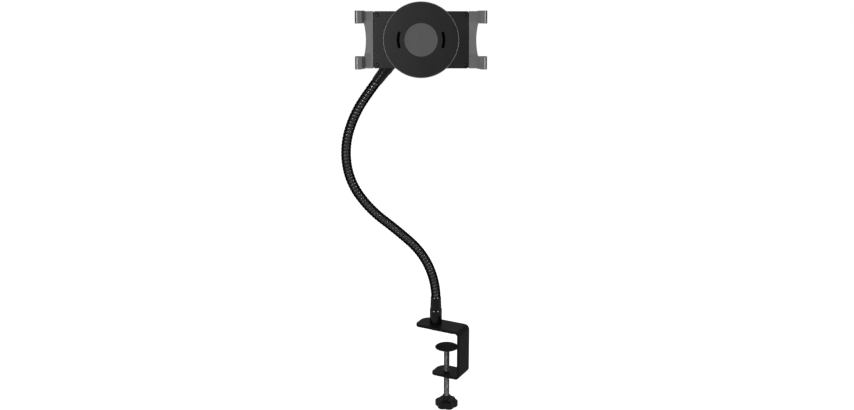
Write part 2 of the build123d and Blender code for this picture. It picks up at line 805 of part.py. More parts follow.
def spring():
    """The close-wound spring that draws the right arm in, from its peg to the post across the housing."""
    coil_start = peg_reach - spring_lead
    coil_end = -spring_post_reach + spring_lead
    radius = (spring_diameter - spring_wire) / 2
    wire = spring_wire / 2
    span = coil_start - coil_end
    turns = round(span / spring_pitch)
    pitch = span / turns
    bore = radius - wire
    inside = [(radius, span), (0, span), (0, span - wire), (bore, span - wire)]
    with BuildLine() as line:
        Polyline(*inside, *[(x, span - y) for x, y in reversed(inside)])
        for turn in range(turns):
            low = turn * pitch
            top = low + pitch - spring_land
            ThreePointArc((radius, low), (radius + wire, (low + top) / 2), (radius, top))
            Line((radius, top), (radius, low + pitch))
    coil = revolve(Plane.XZ * make_face(line.line), Axis.Z)
    piece = Location((coil_end, -rail_offset, -spring_depth), (0, 90, 0)) * coil
    eye_radius = peg_diameter / 2 + loose_fit + wire
    for x, edge in ((peg_reach, coil_start), (-spring_post_reach, coil_end)):
        inward = math.copysign(1, edge - x)
        first, last = x + inward * eye_radius, edge + inward * wire / 2
        link = Rot(0, 90, 0) * Cylinder(0.8 * wire, abs(last - first))
        piece += Pos((first + last) / 2, -rail_offset, -spring_depth) * link
        piece += Pos(x, -rail_offset, -spring_depth) * Torus(eye_radius, wire)
    return piece


half_turn = Rot(0, 0, 180)
right_arm_shape = arm()
right_grip_shapes = grips()
spring_shape = spring()

nodes = {
    "clamp_bracket": bent_bar(),
    "jaw_pad": jaw_pad(),
    "pressure_plate": pressure_plate(),
    "plate_pad": plate_pad(),
    "clamp_screw": clamp_screw(),
    "screw_knob": screw_knob(),
    "base_socket": base_socket(),
    "base_screw": base_screw(),
    "base_ferrule": base_ferrule(),
    "top_ferrule": top_ferrule(),
    "top_socket": top_socket(),
    "tilt_knuckle": tilt_knuckle(),
    "tilt_bracket": tilt_bracket(),
    "tilt_washers": tilt_washers(),
    "tilt_bolt": tilt_bolt(),
    "tilt_nut": tilt_nut(),
    "tilt_knob": tilt_knob(),
    "friction_washer": friction_washer(),
    "swivel_retainer": swivel_retainer(),
    "swivel_screw": swivel_screw(),
    "front_housing": front_housing(),
    "rear_housing": rear_housing(),
    "centre_cap": centre_cap(),
    "housing_screws": housing_screws(),
    "drive_pinion": drive_pinion(),
    "pinion_pin": pinion_pin(),
    "pinion_clip": pinion_clip(),
    "right_arm": holder * right_arm_shape,
    "left_arm": holder * half_turn * right_arm_shape,
    "right_grips": Compound([holder * grip for grip in right_grip_shapes]),
    "left_grips": Compound([holder * half_turn * grip for grip in right_grip_shapes]),
    "right_spring": holder * spring_shape,
    "left_spring": holder * half_turn * spring_shape,
}
for index in range(len(segment_bends)):
    nodes[f"neck_tube_{index + 1}"] = neck_tube(index)
    nodes[f"neck_core_{index + 1}"] = neck_core(index)

os.makedirs("parts", exist_ok=True)
for name, shape in nodes.items():
    export_step(shape, f"parts/{name}.step")
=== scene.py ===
import json
import math

import bmesh
import bpy
from bpy.props import FloatProperty, FloatVectorProperty, IntProperty, PointerProperty
from mathutils import Matrix, Vector


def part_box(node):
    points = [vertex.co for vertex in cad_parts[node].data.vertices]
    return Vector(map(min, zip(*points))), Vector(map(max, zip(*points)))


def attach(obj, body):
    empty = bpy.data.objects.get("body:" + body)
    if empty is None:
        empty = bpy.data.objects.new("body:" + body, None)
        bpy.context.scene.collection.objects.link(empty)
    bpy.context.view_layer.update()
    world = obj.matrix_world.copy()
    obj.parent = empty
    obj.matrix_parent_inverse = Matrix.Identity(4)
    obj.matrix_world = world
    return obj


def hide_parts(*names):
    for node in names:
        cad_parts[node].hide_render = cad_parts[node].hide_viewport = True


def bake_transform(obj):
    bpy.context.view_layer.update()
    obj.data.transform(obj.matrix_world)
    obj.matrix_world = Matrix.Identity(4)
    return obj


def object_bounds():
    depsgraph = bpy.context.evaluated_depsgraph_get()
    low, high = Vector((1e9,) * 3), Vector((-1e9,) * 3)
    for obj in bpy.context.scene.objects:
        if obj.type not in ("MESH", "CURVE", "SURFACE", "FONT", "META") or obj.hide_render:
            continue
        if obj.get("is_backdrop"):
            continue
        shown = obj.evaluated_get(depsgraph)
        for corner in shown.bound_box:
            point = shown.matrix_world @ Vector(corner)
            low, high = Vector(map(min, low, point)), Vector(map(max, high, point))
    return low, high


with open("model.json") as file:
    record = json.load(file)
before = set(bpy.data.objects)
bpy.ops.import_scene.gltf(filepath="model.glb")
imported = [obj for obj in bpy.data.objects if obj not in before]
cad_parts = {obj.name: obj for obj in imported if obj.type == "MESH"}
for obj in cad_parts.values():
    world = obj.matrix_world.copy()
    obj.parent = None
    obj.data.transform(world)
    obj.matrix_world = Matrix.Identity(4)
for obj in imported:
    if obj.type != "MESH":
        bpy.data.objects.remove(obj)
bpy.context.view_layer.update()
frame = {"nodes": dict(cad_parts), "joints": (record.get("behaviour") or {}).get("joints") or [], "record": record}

bl_info = {
    "name": "Gooseneck tablet mount",
    "version": (1, 0, 0),
    "blender": (4, 5, 0),
    "location": "View3D > Sidebar > Mount",
    "description": "Builds the visible pieces of a desk mount with a bendable neck and a tablet holder",
    "category": "Object",
}

MM = 0.001
MERGE = 1e-6                 # Points nearer than this are one point
SAME_SPOT = 5 * MERGE        # A vertex this near to a corner is that corner
ALONG_X = Matrix.Rotation(math.radians(90), 4, "Y")
AT_ORIGIN = Matrix.Identity(4)

# Places, read from the frame
joints = {joint["name"]: joint for joint in frame["joints"]}


def frame_along(origin, across, out):
    """A place whose X axis is across and whose Z axis is out."""
    up = Vector(out).cross(Vector(across))
    rows = Matrix((Vector(across), up, Vector(out))).transposed().to_4x4()
    return Matrix.Translation(Vector(origin)) @ rows


holder_place = frame_along(joints["swivel"]["pos_m"], (1, 0, 0), joints["swivel"]["axis"])
holder_turn = holder_place.to_quaternion().to_matrix().to_4x4()
pin_place = Matrix.Translation(Vector(joints["tilt"]["pos_m"])) @ holder_turn @ ALONG_X
foot_low, foot_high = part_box("base_socket")
foot_x, foot_y = (foot_low.x + foot_high.x) / 2, (foot_low.y + foot_high.y) / 2
foot_place = Matrix.Translation((foot_x, foot_y, foot_low.z))


# Sizes and colours that a user may change


def length(label, note, value):
    """A length property, given in millimetres and kept in metres."""
    return FloatProperty(
        name=label, description=note, default=value * MM, min=0.0, unit="LENGTH", precision=5
    )


def colour(label, note, value):
    """A colour property, as linear red, green and blue."""
    return FloatVectorProperty(
        name=label, description=note, default=value, size=3, min=0.0, max=1.0, subtype="COLOR"
    )


class ClampSizes(bpy.types.PropertyGroup):
    turn: FloatProperty(
        name="Turn", description="How far the clamp is turned about the screw",
        default=math.radians(-26.8), subtype="ANGLE",
    )
    bar_width: length("Bar width", "Width of the bent bar", 36.5)
    bar_thickness: length("Bar thickness", "Thickness of the bent bar", 4.5)
    bend_radius: length("Bend radius", "Inside radius of the bar's two bends", 3.5)
    far_corner: length("Far corner", "Radius of the corner at the back of both jaw tips", 16.0)
    near_corner: length("Near corner", "Radius of the corner at the front of both jaw tips", 8.0)
    top_face: length("Top face", "Height of the bar's upper face over the desk", 5.3)
    height: length("Clamp height", "Height of the bar from face to face", 81.9)
    screw_to_limb: length("Screw to limb", "From the screw to the outside of the limb", 30.8)
    upper_reach: length("Upper reach", "From the screw to the upper jaw's tip", 47.8)
    lower_reach: length("Lower reach", "From the screw to the lower jaw's tip", 19.8)
    screw_diameter: length("Screw diameter", "Major diameter of the screw thread", 9.0)
    screw_pitch: length("Screw pitch", "Rise of the thread in one turn", 1.25)
    knob_diameter: length("Knob diameter", "Width of the hand knob over its lobes", 36.4)
    knob_lobes: IntProperty(
        name="Knob lobes", description="Number of lobes on the hand knob", default=6, min=3
    )


class NeckSizes(bpy.types.PropertyGroup):
    diameter: length("Diameter", "Outside diameter of the ribbed neck", 15.1)
    rib_pitch: length("Rib pitch", "Rise of the wound rib in one turn", 5.3)
    rib_depth: length("Rib depth", "Depth of the groove between ribs", 0.75)
    bend_spread: length("Bend spread", "Length over which one bending point is spread", 40.0)
    socket_diameter: length("Socket diameter", "Diameter of the sockets at both ends", 19.0)
    ferrule_wide: length("Ferrule, wide end", "Diameter of a ferrule at its socket", 17.4)
    ferrule_narrow: length("Ferrule, narrow end", "Diameter of a ferrule at its lip", 16.0)
    ferrule_length: length("Ferrule length", "Length of a tapered ferrule", 20.0)


class HolderSizes(bpy.types.PropertyGroup):
    width: length("Width", "Width of the holder's plate", 136.8)
    height: length("Height", "Height of the holder's plate", 82.1)
    corner: length("Corner radius", "Radius of the plate's corners", 2.5)
    disc_diameter: length("Disc diameter", "Diameter of the raised disc", 109.0)
    disc_step: length("Disc step", "Height of the disc over the plate", 2.5)
    wall: length("Wall", "Thickness of the shells", 2.2)
    parting: length("Parting depth", "Depth of the joint between the shells", 9.0)
    cap_diameter: length("Cap diameter", "Diameter of the round inlay", 48.4)
    slot_radius: length("Slot radius", "Radius on which the two slots lie", 33.0)
    slot_width: length("Slot width", "Width of the two slots", 4.2)
    screw_inset: length("Screw inset", "From the plate's edges to each screw", 5.3)


class ArmSizes(bpy.types.PropertyGroup):
    inner: length("Inner face", "From the holder's middle to the end bar", 68.8)
    bar_width: length("Bar width", "Width of the end bar at its hooks", 13.6)
    waist: length("Waist", "How far the end bar's outer side draws in between its hooks", 2.7)
    front: length("Front depth", "Depth of the end bar's front under the plate's", 1.5)
    back: length("Back depth", "Depth of the end bar's back under the plate's front", 14.5)
    hook_length: length("Hook length", "Length of a hook along the end bar", 18.4)
    overhang: length("Overhang", "How far a hook stands past the end bar's end", 0.8)
    reach: length("Reach", "From the holder's middle to the outside of a hook", 94.6)
    lip_back: length("Lip height", "Height of the lip's inner face over the plate", 16.0)
    rail_offset: length("Rail offset", "From the holder's middle to each rail's middle", 26.0)


class FinishColours(bpy.types.PropertyGroup):
    black_paint: colour("Black paint", "Satin coat of the clamp bar", (0.006, 0.006, 0.0062))
    gloss_paint: colour("Gloss paint", "Gloss coat of neck and fittings", (0.0025, 0.0025, 0.0027))
    black_plastic: colour("Black plastic", "Moulded housing and knobs", (0.0035, 0.0035, 0.0037))
    cap_plastic: colour("Cap plastic", "Round inlay in the middle of the holder", (0.070, 0.070, 0.072))
    grey_plastic: colour("Grey plastic", "Sliding arms and their hooks", (0.105, 0.105, 0.107))
    black_rubber: colour("Black rubber", "Faces that meet the desk", (0.006, 0.006, 0.006))
    grey_rubber: colour("Grey rubber", "Linings of the hooks", (0.095, 0.095, 0.097))
    bright_steel: colour("Bright steel", "Bolt, nut and springs", (0.42, 0.42, 0.43))
    dull_steel: colour("Dull steel", "Threaded rod of the clamp", (0.24, 0.24, 0.245))
    pale_plastic: colour("Pale plastic", "Gear and washers", (0.62, 0.62, 0.58))
    dark_metal: colour("Dark metal", "Heads of the housing screws", (0.012, 0.012, 0.0125))
    # The burnished metal colour is a painted highlight on the disc's rounded edge.
    burnished_metal: colour("Burnished metal", "Thin edge round the disc", (0.08, 0.08, 0.082))
    # The pale bead colour is a painted highlight along each hook's outer edge.
    pale_bead: colour("Pale bead", "Bead on the outer side of each grip", (0.36, 0.36, 0.365))
    # The felt colour is painted shade: a near-black sheet behind the slots.
    felt: colour("Felt", "Dust strips behind the slots", (0.002, 0.002, 0.002))


# Modelling steps. Outlines, profiles and the operators' own values are in mm, and the values of
# the properties and of Blender in metres.


def deselect():
    """Leaves edit mode and selects nothing."""
    if bpy.context.object and bpy.context.object.mode != "OBJECT":
        bpy.ops.object.mode_set(mode="OBJECT")
    bpy.ops.object.select_all(action="DESELECT")


def pick(piece):
    """Makes the piece the only selected object and the active one."""
    deselect()
    piece.select_set(True)
    bpy.context.view_layer.objects.active = piece


def named(name):
    """The piece that was just added, with its name."""
    piece = bpy.context.object
    piece.name = piece.data.name = name
    return piece


def choose(piece, kind, test):
    """Selects only the vertices, edges or faces that pass the test. The piece is in edit mode."""
    bpy.ops.mesh.select_mode(type=kind)
    bpy.ops.mesh.select_all(action="DESELECT")
    mesh = bmesh.from_edit_mesh(piece.data)
    for item in {"VERT": mesh.verts, "EDGE": mesh.edges, "FACE": mesh.faces}[kind]:
        if test(item):
            item.select_set(True)
    mesh.select_flush_mode()
    bmesh.update_edit_mesh(piece.data)


def draw_chain(name, corners, segments=4):
    """A new piece in edit mode: a chain of edges through the corners, drawn by extruding one vertex.

    A corner is a point in metres with the radius that rounds it, or 0 for a sharp one."""
    deselect()
    bpy.ops.mesh.primitive_plane_add(size=MM)
    piece = named(name)
    bpy.ops.object.mode_set(mode="EDIT")
    bpy.ops.mesh.select_mode(type="VERT")
    bpy.ops.mesh.select_all(action="SELECT")
    bpy.ops.mesh.merge(type="CENTER")
    here = Vector(corners[0][0])
    bpy.ops.transform.translate(value=here)
    for point, _ in corners[1:]:
        step = Vector(point) - here
        bpy.ops.mesh.extrude_vertices_move(TRANSFORM_OT_translate={"value": step})
        here = Vector(point)
    bpy.ops.mesh.select_all(action="SELECT")
    bpy.ops.mesh.remove_doubles(threshold=MERGE)
    for radius in sorted({radius for _, radius in corners if radius}):
        spots = [Vector(point) for point, size in corners if size == radius]
        choose(piece, "VERT", lambda v: any((v.co - spot).length < SAME_SPOT for spot in spots))
        bpy.ops.mesh.bevel(offset=radius, offset_type="OFFSET", segments=segments, affect="VERTICES")
    bpy.ops.mesh.select_all(action="SELECT")
    return piece


def mend(piece):
    """Merges doubled points and turns all faces outwards. The piece is in edit mode."""
    bpy.ops.mesh.select_mode(type="VERT")
    bpy.ops.mesh.select_all(action="SELECT")
    bpy.ops.mesh.remove_doubles(threshold=MERGE)
    bpy.ops.mesh.normals_make_consistent(inside=False)
    bpy.ops.object.mode_set(mode="OBJECT")
    return piece


def corners_at(points, place):
    """Corners in metres, from points of two measures and perhaps a rounding, in mm."""
    return [(place(p[0] * MM, p[1] * MM), p[2] * MM if len(p) > 2 else 0) for p in points]


def turned(name, profile, steps=64, segments=3):
    """A piece turned round the Z axis from its profile of radius, height and rounding, in mm."""
    corners = corners_at(profile, lambda x, z: (x, 0, z))
    if profile[0][0] or profile[-1][0]:
        corners.append(corners[0])
    piece = draw_chain(name, corners, segments)
    bpy.ops.mesh.spin(steps=steps, angle=2 * math.pi, center=(0, 0, 0), axis=(0, 0, 1))
    return mend(piece)


def pulled(name, corners, way, segments):
    """A piece whose flat outline is pulled straight along way, all in metres."""
    piece = draw_chain(name, corners + corners[:1], segments)
    bpy.ops.mesh.edge_face_add()
    bpy.ops.mesh.extrude_region_move(TRANSFORM_OT_translate={"value": way})
    return mend(piece)


def extruded(name, outline, low, high, segments=6):
    """A piece drawn up from a flat outline of x, y and rounding, in mm, between two heights."""
    corners = corners_at(outline, lambda x, y: (x, y, low * MM))
    return pulled(name, corners, (0, 0, (high - low) * MM), segments)


def drawn_across(name, section, near, far, segments=4):
    """A piece whose section of x, z and rounding is pulled along Y between two places, in mm."""
    corners = corners_at(section, lambda x, z: (x, near * MM, z))
    return pulled(name, corners, (0, (far - near) * MM, 0), segments)


def apply(piece, kind, **settings):
    """Adds one modifier with these settings and applies it."""
    pick(piece)
    modifier = piece.modifiers.new(kind.title(), kind)
    for key, value in settings.items():
        setattr(modifier, key, value)
    bpy.ops.object.modifier_apply(modifier=modifier.name)
    return piece


def soften(piece, width, segments=2, angle=35):
    """Rounds every edge sharper than the angle."""
    return apply(
        piece, "BEVEL", width=width * MM, segments=segments,
        limit_method="ANGLE", angle_limit=math.radians(angle), use_clamp_overlap=True,
    )


def cut(piece, cutter):
    """Takes the cutter's space out of the piece and deletes the cutter."""
    apply(piece, "BOOLEAN", operation="DIFFERENCE", solver="EXACT", object=cutter)
    bpy.data.objects.remove(cutter)
    return piece


def unite(piece, other):
    """Adds the other piece's space to the piece."""
    apply(piece, "BOOLEAN", operation="UNION", solver="EXACT", object=other)
    bpy.data.objects.remove(other)
    return piece


def round_edges(piece, radius, test, segments=4):
    """Rounds the edges that pass the test, by a radius in mm."""
    pick(piece)
    bpy.ops.object.mode_set(mode="EDIT")
    choose(piece, "EDGE", test)
    bpy.ops.mesh.bevel(offset=radius * MM, segments=segments, affect="EDGES")
    bpy.ops.object.mode_set(mode="OBJECT")
    return piece


def block(name, low, high):
    """A block between any two opposite corners, in mm."""
    deselect()
    middle = [(a + b) / 2 * MM for a, b in zip(low, high)]
    bpy.ops.mesh.primitive_cube_add(size=1, location=middle)
    piece = named(name)
    piece.scale = [abs(b - a) * MM for a, b in zip(low, high)]
    bpy.ops.object.transform_apply(location=True, rotation=False, scale=True)
    return piece


def round_bar(name, radius, low, high, spot=(0, 0), vertices=48):
    """A round bar along Z between two heights, in mm."""
    deselect()
    bpy.ops.mesh.primitive_cylinder_add(
        vertices=vertices, radius=radius * MM, depth=(high - low) * MM,
        location=(spot[0] * MM, spot[1] * MM, (low + high) / 2 * MM),
    )
    piece = named(name)
    bpy.ops.object.transform_apply(location=True, rotation=False, scale=False)
    return piece


def even_shares(steps):
    """Evenly spaced shares from -1 to 1, with this many steps on each side of 0."""
    return [index / steps - 1 for index in range(2 * steps + 1)]


def join(first, *others):
    """Joins the other pieces to the first."""
    pick(first)
    for other in others:
        other.select_set(True)
    bpy.ops.object.join()
    return first


def move(piece, place):
    """Moves the piece's mesh to its place, with its object left at the origin."""
    pick(piece)
    piece.matrix_world = place
    bpy.ops.object.transform_apply(location=True, rotation=True, scale=True)
    return piece


def finish(piece, slot, angle=35, look=None):
    """Smooths the piece and gives it its material, named by look or else by slot."""
    pick(piece)
    bpy.ops.object.shade_smooth_by_angle(angle=math.radians(angle))
    apply(piece, "WEIGHTED_NORMAL", weight=60, keep_sharp=True)
    piece.data.materials.clear()
    piece.data.materials.append(bpy.data.materials[look or slot])
    return piece


def settle(piece, place, body, slot, *stands_for, angle=35, look=None):
    """Puts a finished piece in its place on its body, for the plain solids that it stands for."""
    finish(move(piece, place), slot, angle, look)
    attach(piece, body)
    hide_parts(*stands_for)
    return piece


# Node groups shared by the materials


class Tree:
    """A node tree with short calls to add nodes and links."""

    def __init__(self, tree):
        self.tree = tree

    def add(self, kind, **inputs):
        """A new node. A keyword is one of its inputs, or else a setting of the node itself."""
        node = self.tree.nodes.new(kind)
        for key, value in inputs.items():
            if key in node.inputs:
                self.put(value, node.inputs[key])
            else:
                setattr(node, key, value)
        return node

    def put(self, value, socket):
        """Links another node's output to the socket, or gives the socket a fixed value."""
        if isinstance(value, bpy.types.NodeSocket):
            self.tree.links.new(value, socket)
        else:
            socket.default_value = value

    def math(self, operation, first, second=0.5, third=0.5):
        node = self.add("ShaderNodeMath", operation=operation)
        for value, socket in zip((first, second, third), node.inputs):
            self.put(value, socket)
        return node.outputs[0]

    def noise(self, vector, scale, detail=3.0, rough=0.55):
        node = self.add("ShaderNodeTexNoise", Vector=vector, Scale=scale, Detail=detail, Roughness=rough)
        return node.outputs["Fac"]

    def spread(self, value, low, high, out_low=0.0, out_high=1.0):
        """A smooth step from out_low to out_high as the value goes from low to high."""
        node = self.add("ShaderNodeMapRange", interpolation_type="SMOOTHSTEP")
        for item, socket in zip((value, low, high, out_low, out_high), node.inputs):
            self.put(item, socket)
        return node.outputs["Result"]

    def mix(self, share, first, second):
        """The node's sockets have the same names for numbers and colours, so they go by index."""
        node = self.add("ShaderNodeMix", data_type="RGBA")
        first_colour, second_colour, colour_result = node.inputs[6], node.inputs[7], node.outputs[2]
        self.put(share, node.inputs["Factor"])
        self.put(first, first_colour)
        self.put(second, second_colour)
        return colour_result


def group(name, inputs, outputs):
    """A new shader node group with its input and output nodes."""
    made = bpy.data.node_groups.new(name, "ShaderNodeTree")
    for label, kind, value in inputs:
        socket = made.interface.new_socket(name=label, in_out="INPUT", socket_type=kind)
        if value is not None:
            socket.default_value = value
    for label, kind in outputs:
        made.interface.new_socket(name=label, in_out="OUTPUT", socket_type=kind)
    tree = Tree(made)
    return tree, tree.add("NodeGroupInput").outputs, tree.add("NodeGroupOutput").inputs


FLOAT, VECTOR = "NodeSocketFloat", "NodeSocketVector"


def grain_group():
    """Fine moulded or sprayed grain: a height in metres and a speckle mask."""
    tree, given, out = group(
        "surface_grain",
        [("Vector", VECTOR, None), ("Grain Size", FLOAT, 0.001), ("Depth", FLOAT, 0.00001)],
        [("Height", FLOAT), ("Speckle", FLOAT)],
    )
    coarse_scale, fine_share, coarse_share = 0.37, 0.65, 0.35
    scale = tree.math("DIVIDE", 1.0, given["Grain Size"])
    fine = tree.noise(given["Vector"], scale, detail=4.0, rough=0.6)
    coarse = tree.noise(given["Vector"], tree.math("MULTIPLY", scale, coarse_scale), detail=2.0)
    fine_height = tree.math("MULTIPLY", fine, fine_share)
    height = tree.math("ADD", fine_height, tree.math("MULTIPLY", coarse, coarse_share))
    tree.put(tree.math("MULTIPLY", height, given["Depth"]), out["Height"])
    tree.put(tree.spread(fine, 0.35, 0.7), out["Speckle"])


def mottle_group():
    """Slow cloudy variation, as where a coat or a moulding is thicker."""
    tree, given, out = group(
        "cloudy_variation",
        [("Vector", VECTOR, None), ("Patch Size", FLOAT, 0.02)],
        [("Mask", FLOAT)],
    )
    scale = tree.math("DIVIDE", 1.0, given["Patch Size"])
    wide = tree.noise(given["Vector"], scale, detail=5.0, rough=0.62)
    tree.put(tree.spread(wide, 0.32, 0.68), out["Mask"])


def handling_group():
    """Faint wipe marks and dust: a mask that changes gloss a little."""
    tree, given, out = group(
        "handling_marks",
        [("Vector", VECTOR, None), ("Mark Size", FLOAT, 0.012), ("Amount", FLOAT, 0.5)],
        [("Mask", FLOAT)],
    )
    wipe_stretch, dust_scale, dust_share = (1.0, 1.0, 0.28), 22.0, 0.6
    scale = tree.math("DIVIDE", 1.0, given["Mark Size"])
    stretch = tree.add("ShaderNodeMapping", Vector=given["Vector"], Scale=wipe_stretch)
    wipes = tree.noise(stretch.outputs["Vector"], scale, detail=6.0, rough=0.7)
    dust = tree.noise(given["Vector"], tree.math("MULTIPLY", scale, dust_scale), detail=1.0)
    wiped = tree.spread(wipes, 0.5, 0.72)
    dusty = tree.spread(dust, 0.66, 0.74)
    both = tree.math("MAXIMUM", wiped, tree.math("MULTIPLY", dusty, dust_share))
    tree.put(tree.math("MULTIPLY", both, given["Amount"]), out["Mask"])


def machining_group():
    """Fine lines left by a lathe or a drawing die, across the piece's long axis."""
    tree, given, out = group(
        "machining_lines",
        [("Vector", VECTOR, None), ("Line Pitch", FLOAT, 0.0003), ("Depth", FLOAT, 0.000004)],
        [("Height", FLOAT), ("Streak", FLOAT)],
    )
    line_stretch = (0.03, 0.03, 1.0)
    scale = tree.math("DIVIDE", 1.0, given["Line Pitch"])
    flat = tree.add("ShaderNodeMapping", Vector=given["Vector"], Scale=line_stretch)
    lines = tree.noise(flat.outputs["Vector"], scale, detail=2.0, rough=0.5)
    tree.put(tree.math("MULTIPLY", lines, given["Depth"]), out["Height"])
    tree.put(tree.spread(lines, 0.4, 0.62), out["Streak"])


class Finish:
    """One material: a Principled shader fed by the shared groups over Object coordinates."""

    def __init__(self, name, base, roughness, **sockets):
        material = bpy.data.materials.new(name)
        material.use_nodes = True
        material.diffuse_color = (*base, 1.0)
        self.tree = Tree(material.node_tree)
        self.tree.tree.nodes.clear()
        self.vector = self.tree.add("ShaderNodeTexCoord").outputs["Object"]
        self.shader = self.tree.add("ShaderNodeBsdfPrincipled", Roughness=roughness)
        for label, value in sockets.items():
            self.shader.inputs[label.replace("_", " ")].default_value = value
        sink = self.tree.add("ShaderNodeOutputMaterial")
        self.tree.put(self.shader.outputs[0], sink.inputs["Surface"])
        self.colour = (*base, 1.0)
        self.roughness = roughness
        self.height = None

    def tint(self, mask, factor):
        """Multiplies the colour by the factor where the mask is high."""
        if factor == 1.0:
            return
        if isinstance(self.colour, tuple):
            other = (*[min(1.0, c * factor) for c in self.colour[:3]], 1.0)
        else:
            scaled = self.tree.add("ShaderNodeVectorMath", operation="SCALE", Scale=factor)
            self.tree.put(self.colour, scaled.inputs[0])
            other = scaled.outputs[0]
        self.colour = self.tree.mix(mask, self.colour, other)

    def roughen(self, mask, amount):
        """Adds the amount of roughness where the mask is high."""
        if amount:
            self.roughness = self.tree.math("MULTIPLY_ADD", mask, amount, self.roughness)

    def effect(self, name, mask, tint, rough, **values):
        """Adds a shared group. Its mask changes the colour and the roughness, and its height is kept."""
        node = self.tree.add("ShaderNodeGroup", node_tree=bpy.data.node_groups[name])
        self.tree.put(self.vector, node.inputs["Vector"])
        for label, value in values.items():
            node.inputs[label.replace("_", " ").title()].default_value = value
        self.roughen(node.outputs[mask], rough)
        self.tint(node.outputs[mask], tint)
        if "Height" in node.outputs:
            height = node.outputs["Height"]
            self.height = height if self.height is None else self.tree.math("ADD", self.height, height)

    def grain(self, size, depth, tint=1.0, rough=0.0):
        """Fine grain of this size and depth, in mm."""
        self.effect("surface_grain", "Speckle", tint, rough, grain_size=size * MM, depth=depth * MM)

    def mottle(self, size, tint, rough=0.0):
        """Slow clouds of this size, in mm."""
        self.effect("cloudy_variation", "Mask", tint, rough, patch_size=size * MM)

    def handled(self, size, amount, rough, tint=1.0):
        """Wipe marks of this size in mm, and dust."""
        self.effect("handling_marks", "Mask", tint, rough, mark_size=size * MM, amount=amount)

    def machined(self, pitch, depth, rough, tint):
        """Fine lines at this pitch and depth, in mm."""
        self.effect("machining_lines", "Streak", tint, rough, line_pitch=pitch * MM, depth=depth * MM)

    def fade_gloss_and_paint_edge_shade(self, level, start=0.35, end=0.75, tint=1.0, rest=0.0):
        """Lets the gloss fall away where the surface turns from the eye. A tint under 1 also darkens the colour
        there, which is painted shade.
        """
        facing = self.tree.add("ShaderNodeLayerWeight", Blend=0.5).outputs["Facing"]
        gloss = self.tree.spread(facing, start, end, level, rest)
        self.tree.put(gloss, self.shader.inputs["Specular IOR Level"])
        # A tint under 1 is painted shade: the colour darkens where the surface turns from the eye.
        if tint != 1.0:
            self.tint(self.tree.spread(facing, start, end), tint)

    def close(self):
        """Links the colour, the roughness and the height to the shader."""
        self.tree.put(self.colour, self.shader.inputs["Base Color"])
        self.tree.put(self.roughness, self.shader.inputs["Roughness"])
        if self.height is not None:
            bump = self.tree.add("ShaderNodeBump", Height=self.height, Strength=1.0, Distance=1.0)
            self.tree.put(bump.outputs["Normal"], self.shader.inputs["Normal"])


# Families of materials


def powder_coat(name, base):
    """Satin powder coat with a fine orange peel and slow clouds."""
    coat = Finish(name, base, 0.40)
    coat.grain(0.9, 0.03, tint=1.25, rough=0.08)
    coat.mottle(9.0, 1.4, rough=0.05)
    coat.handled(14.0, 0.5, 0.08)
    coat.fade_gloss_and_paint_edge_shade(0.024, 0.15, 0.5, rest=0.012)
    coat.close()


def cast_coat(name, base):
    """Coarser powder coat on a casting."""
    coat = Finish(name, base, 0.46)
    coat.grain(1.2, 0.07, tint=1.3, rough=0.1)
    coat.mottle(11.0, 1.35)
    coat.fade_gloss_and_paint_edge_shade(0.2)
    coat.close()


def thin_paint(name, base):
    """Thin satin paint on pressed steel."""
    coat = Finish(name, base, 0.36)
    coat.grain(1.1, 0.02, tint=1.2, rough=0.06)
    coat.handled(8.0, 0.7, 0.1, tint=1.4)
    coat.fade_gloss_and_paint_edge_shade(0.3, 0.3, 0.8, rest=0.10)
    coat.close()


def gloss_coat(name, base, roughness, peel, gloss, start, end):
    """Gloss black paint over turned steel."""
    coat = Finish(name, base, roughness)
    coat.grain(1.6, peel, rough=0.04)
    coat.mottle(6.0, 1.6)
    coat.handled(9.0, 0.6, 0.10, tint=1.5)
    coat.fade_gloss_and_paint_edge_shade(gloss, start, end)
    coat.close()


def moulded(name, base, roughness, grain_depth, cloud, gloss, start=0.3, end=0.75, edge=1.0):
    """Moulded plastic with a spark-eroded grain and faint flow clouds. An edge under 1 paints shade on the colour
    where the surface turns from the eye.
    """
    plastic = Finish(name, base, roughness)
    # Painted shade on the colour at grazing angles, when edge is under 1.
    plastic.fade_gloss_and_paint_edge_shade(gloss, start, end, tint=edge)
    plastic.grain(0.55, grain_depth, tint=1.18, rough=0.07)
    plastic.mottle(26.0, cloud, rough=0.04)
    plastic.handled(18.0, 0.6, 0.07, tint=1.12)
    plastic.close()


def rubber(name, base, depth):
    """Matt rubber with a dusty, slightly pitted skin."""
    skin = Finish(name, base, 0.72)
    skin.fade_gloss_and_paint_edge_shade(0.2, 0.2, 0.6, rest=0.01)
    skin.grain(0.4, depth, tint=1.3, rough=0.1)
    skin.mottle(7.0, 1.25)
    skin.handled(6.0, 0.8, -0.1, tint=1.3)
    skin.close()


def steel(name, base, roughness, pitch, streak, edge=0.6):
    """Plated steel with fine machining lines and slight tarnish. Its edge paints shade on the colour where the
    steel turns from the eye.
    """
    metal = Finish(name, base, roughness, Metallic=1.0)
    # Painted shade: the colour darkens at grazing angles by edge.
    metal.fade_gloss_and_paint_edge_shade(0.2, 0.1, 0.5, tint=edge)
    metal.machined(pitch, 0.004, 0.08, streak)
    metal.mottle(5.0, 0.8, rough=0.05)
    metal.grain(0.5, 0.003)
    metal.close()


def blackened_steel(name, base):
    """Blackened screw heads, worn bright in places."""
    metal = Finish(name, base, 0.30, Metallic=1.0)
    metal.machined(0.2, 0.003, 0.08, 1.5)
    metal.handled(1.5, 0.8, 0.1, tint=1.6)
    metal.close()


def highlight_rim_steel(name, base):
    """A thin metal ring round the disc, brighter than the housing: a painted highlight on the disc's rounded edge.
    """
    edge = Finish(name, base, 0.36, Metallic=1.0)
    edge.machined(0.3, 0.002, 0.05, 0.85)
    edge.close()


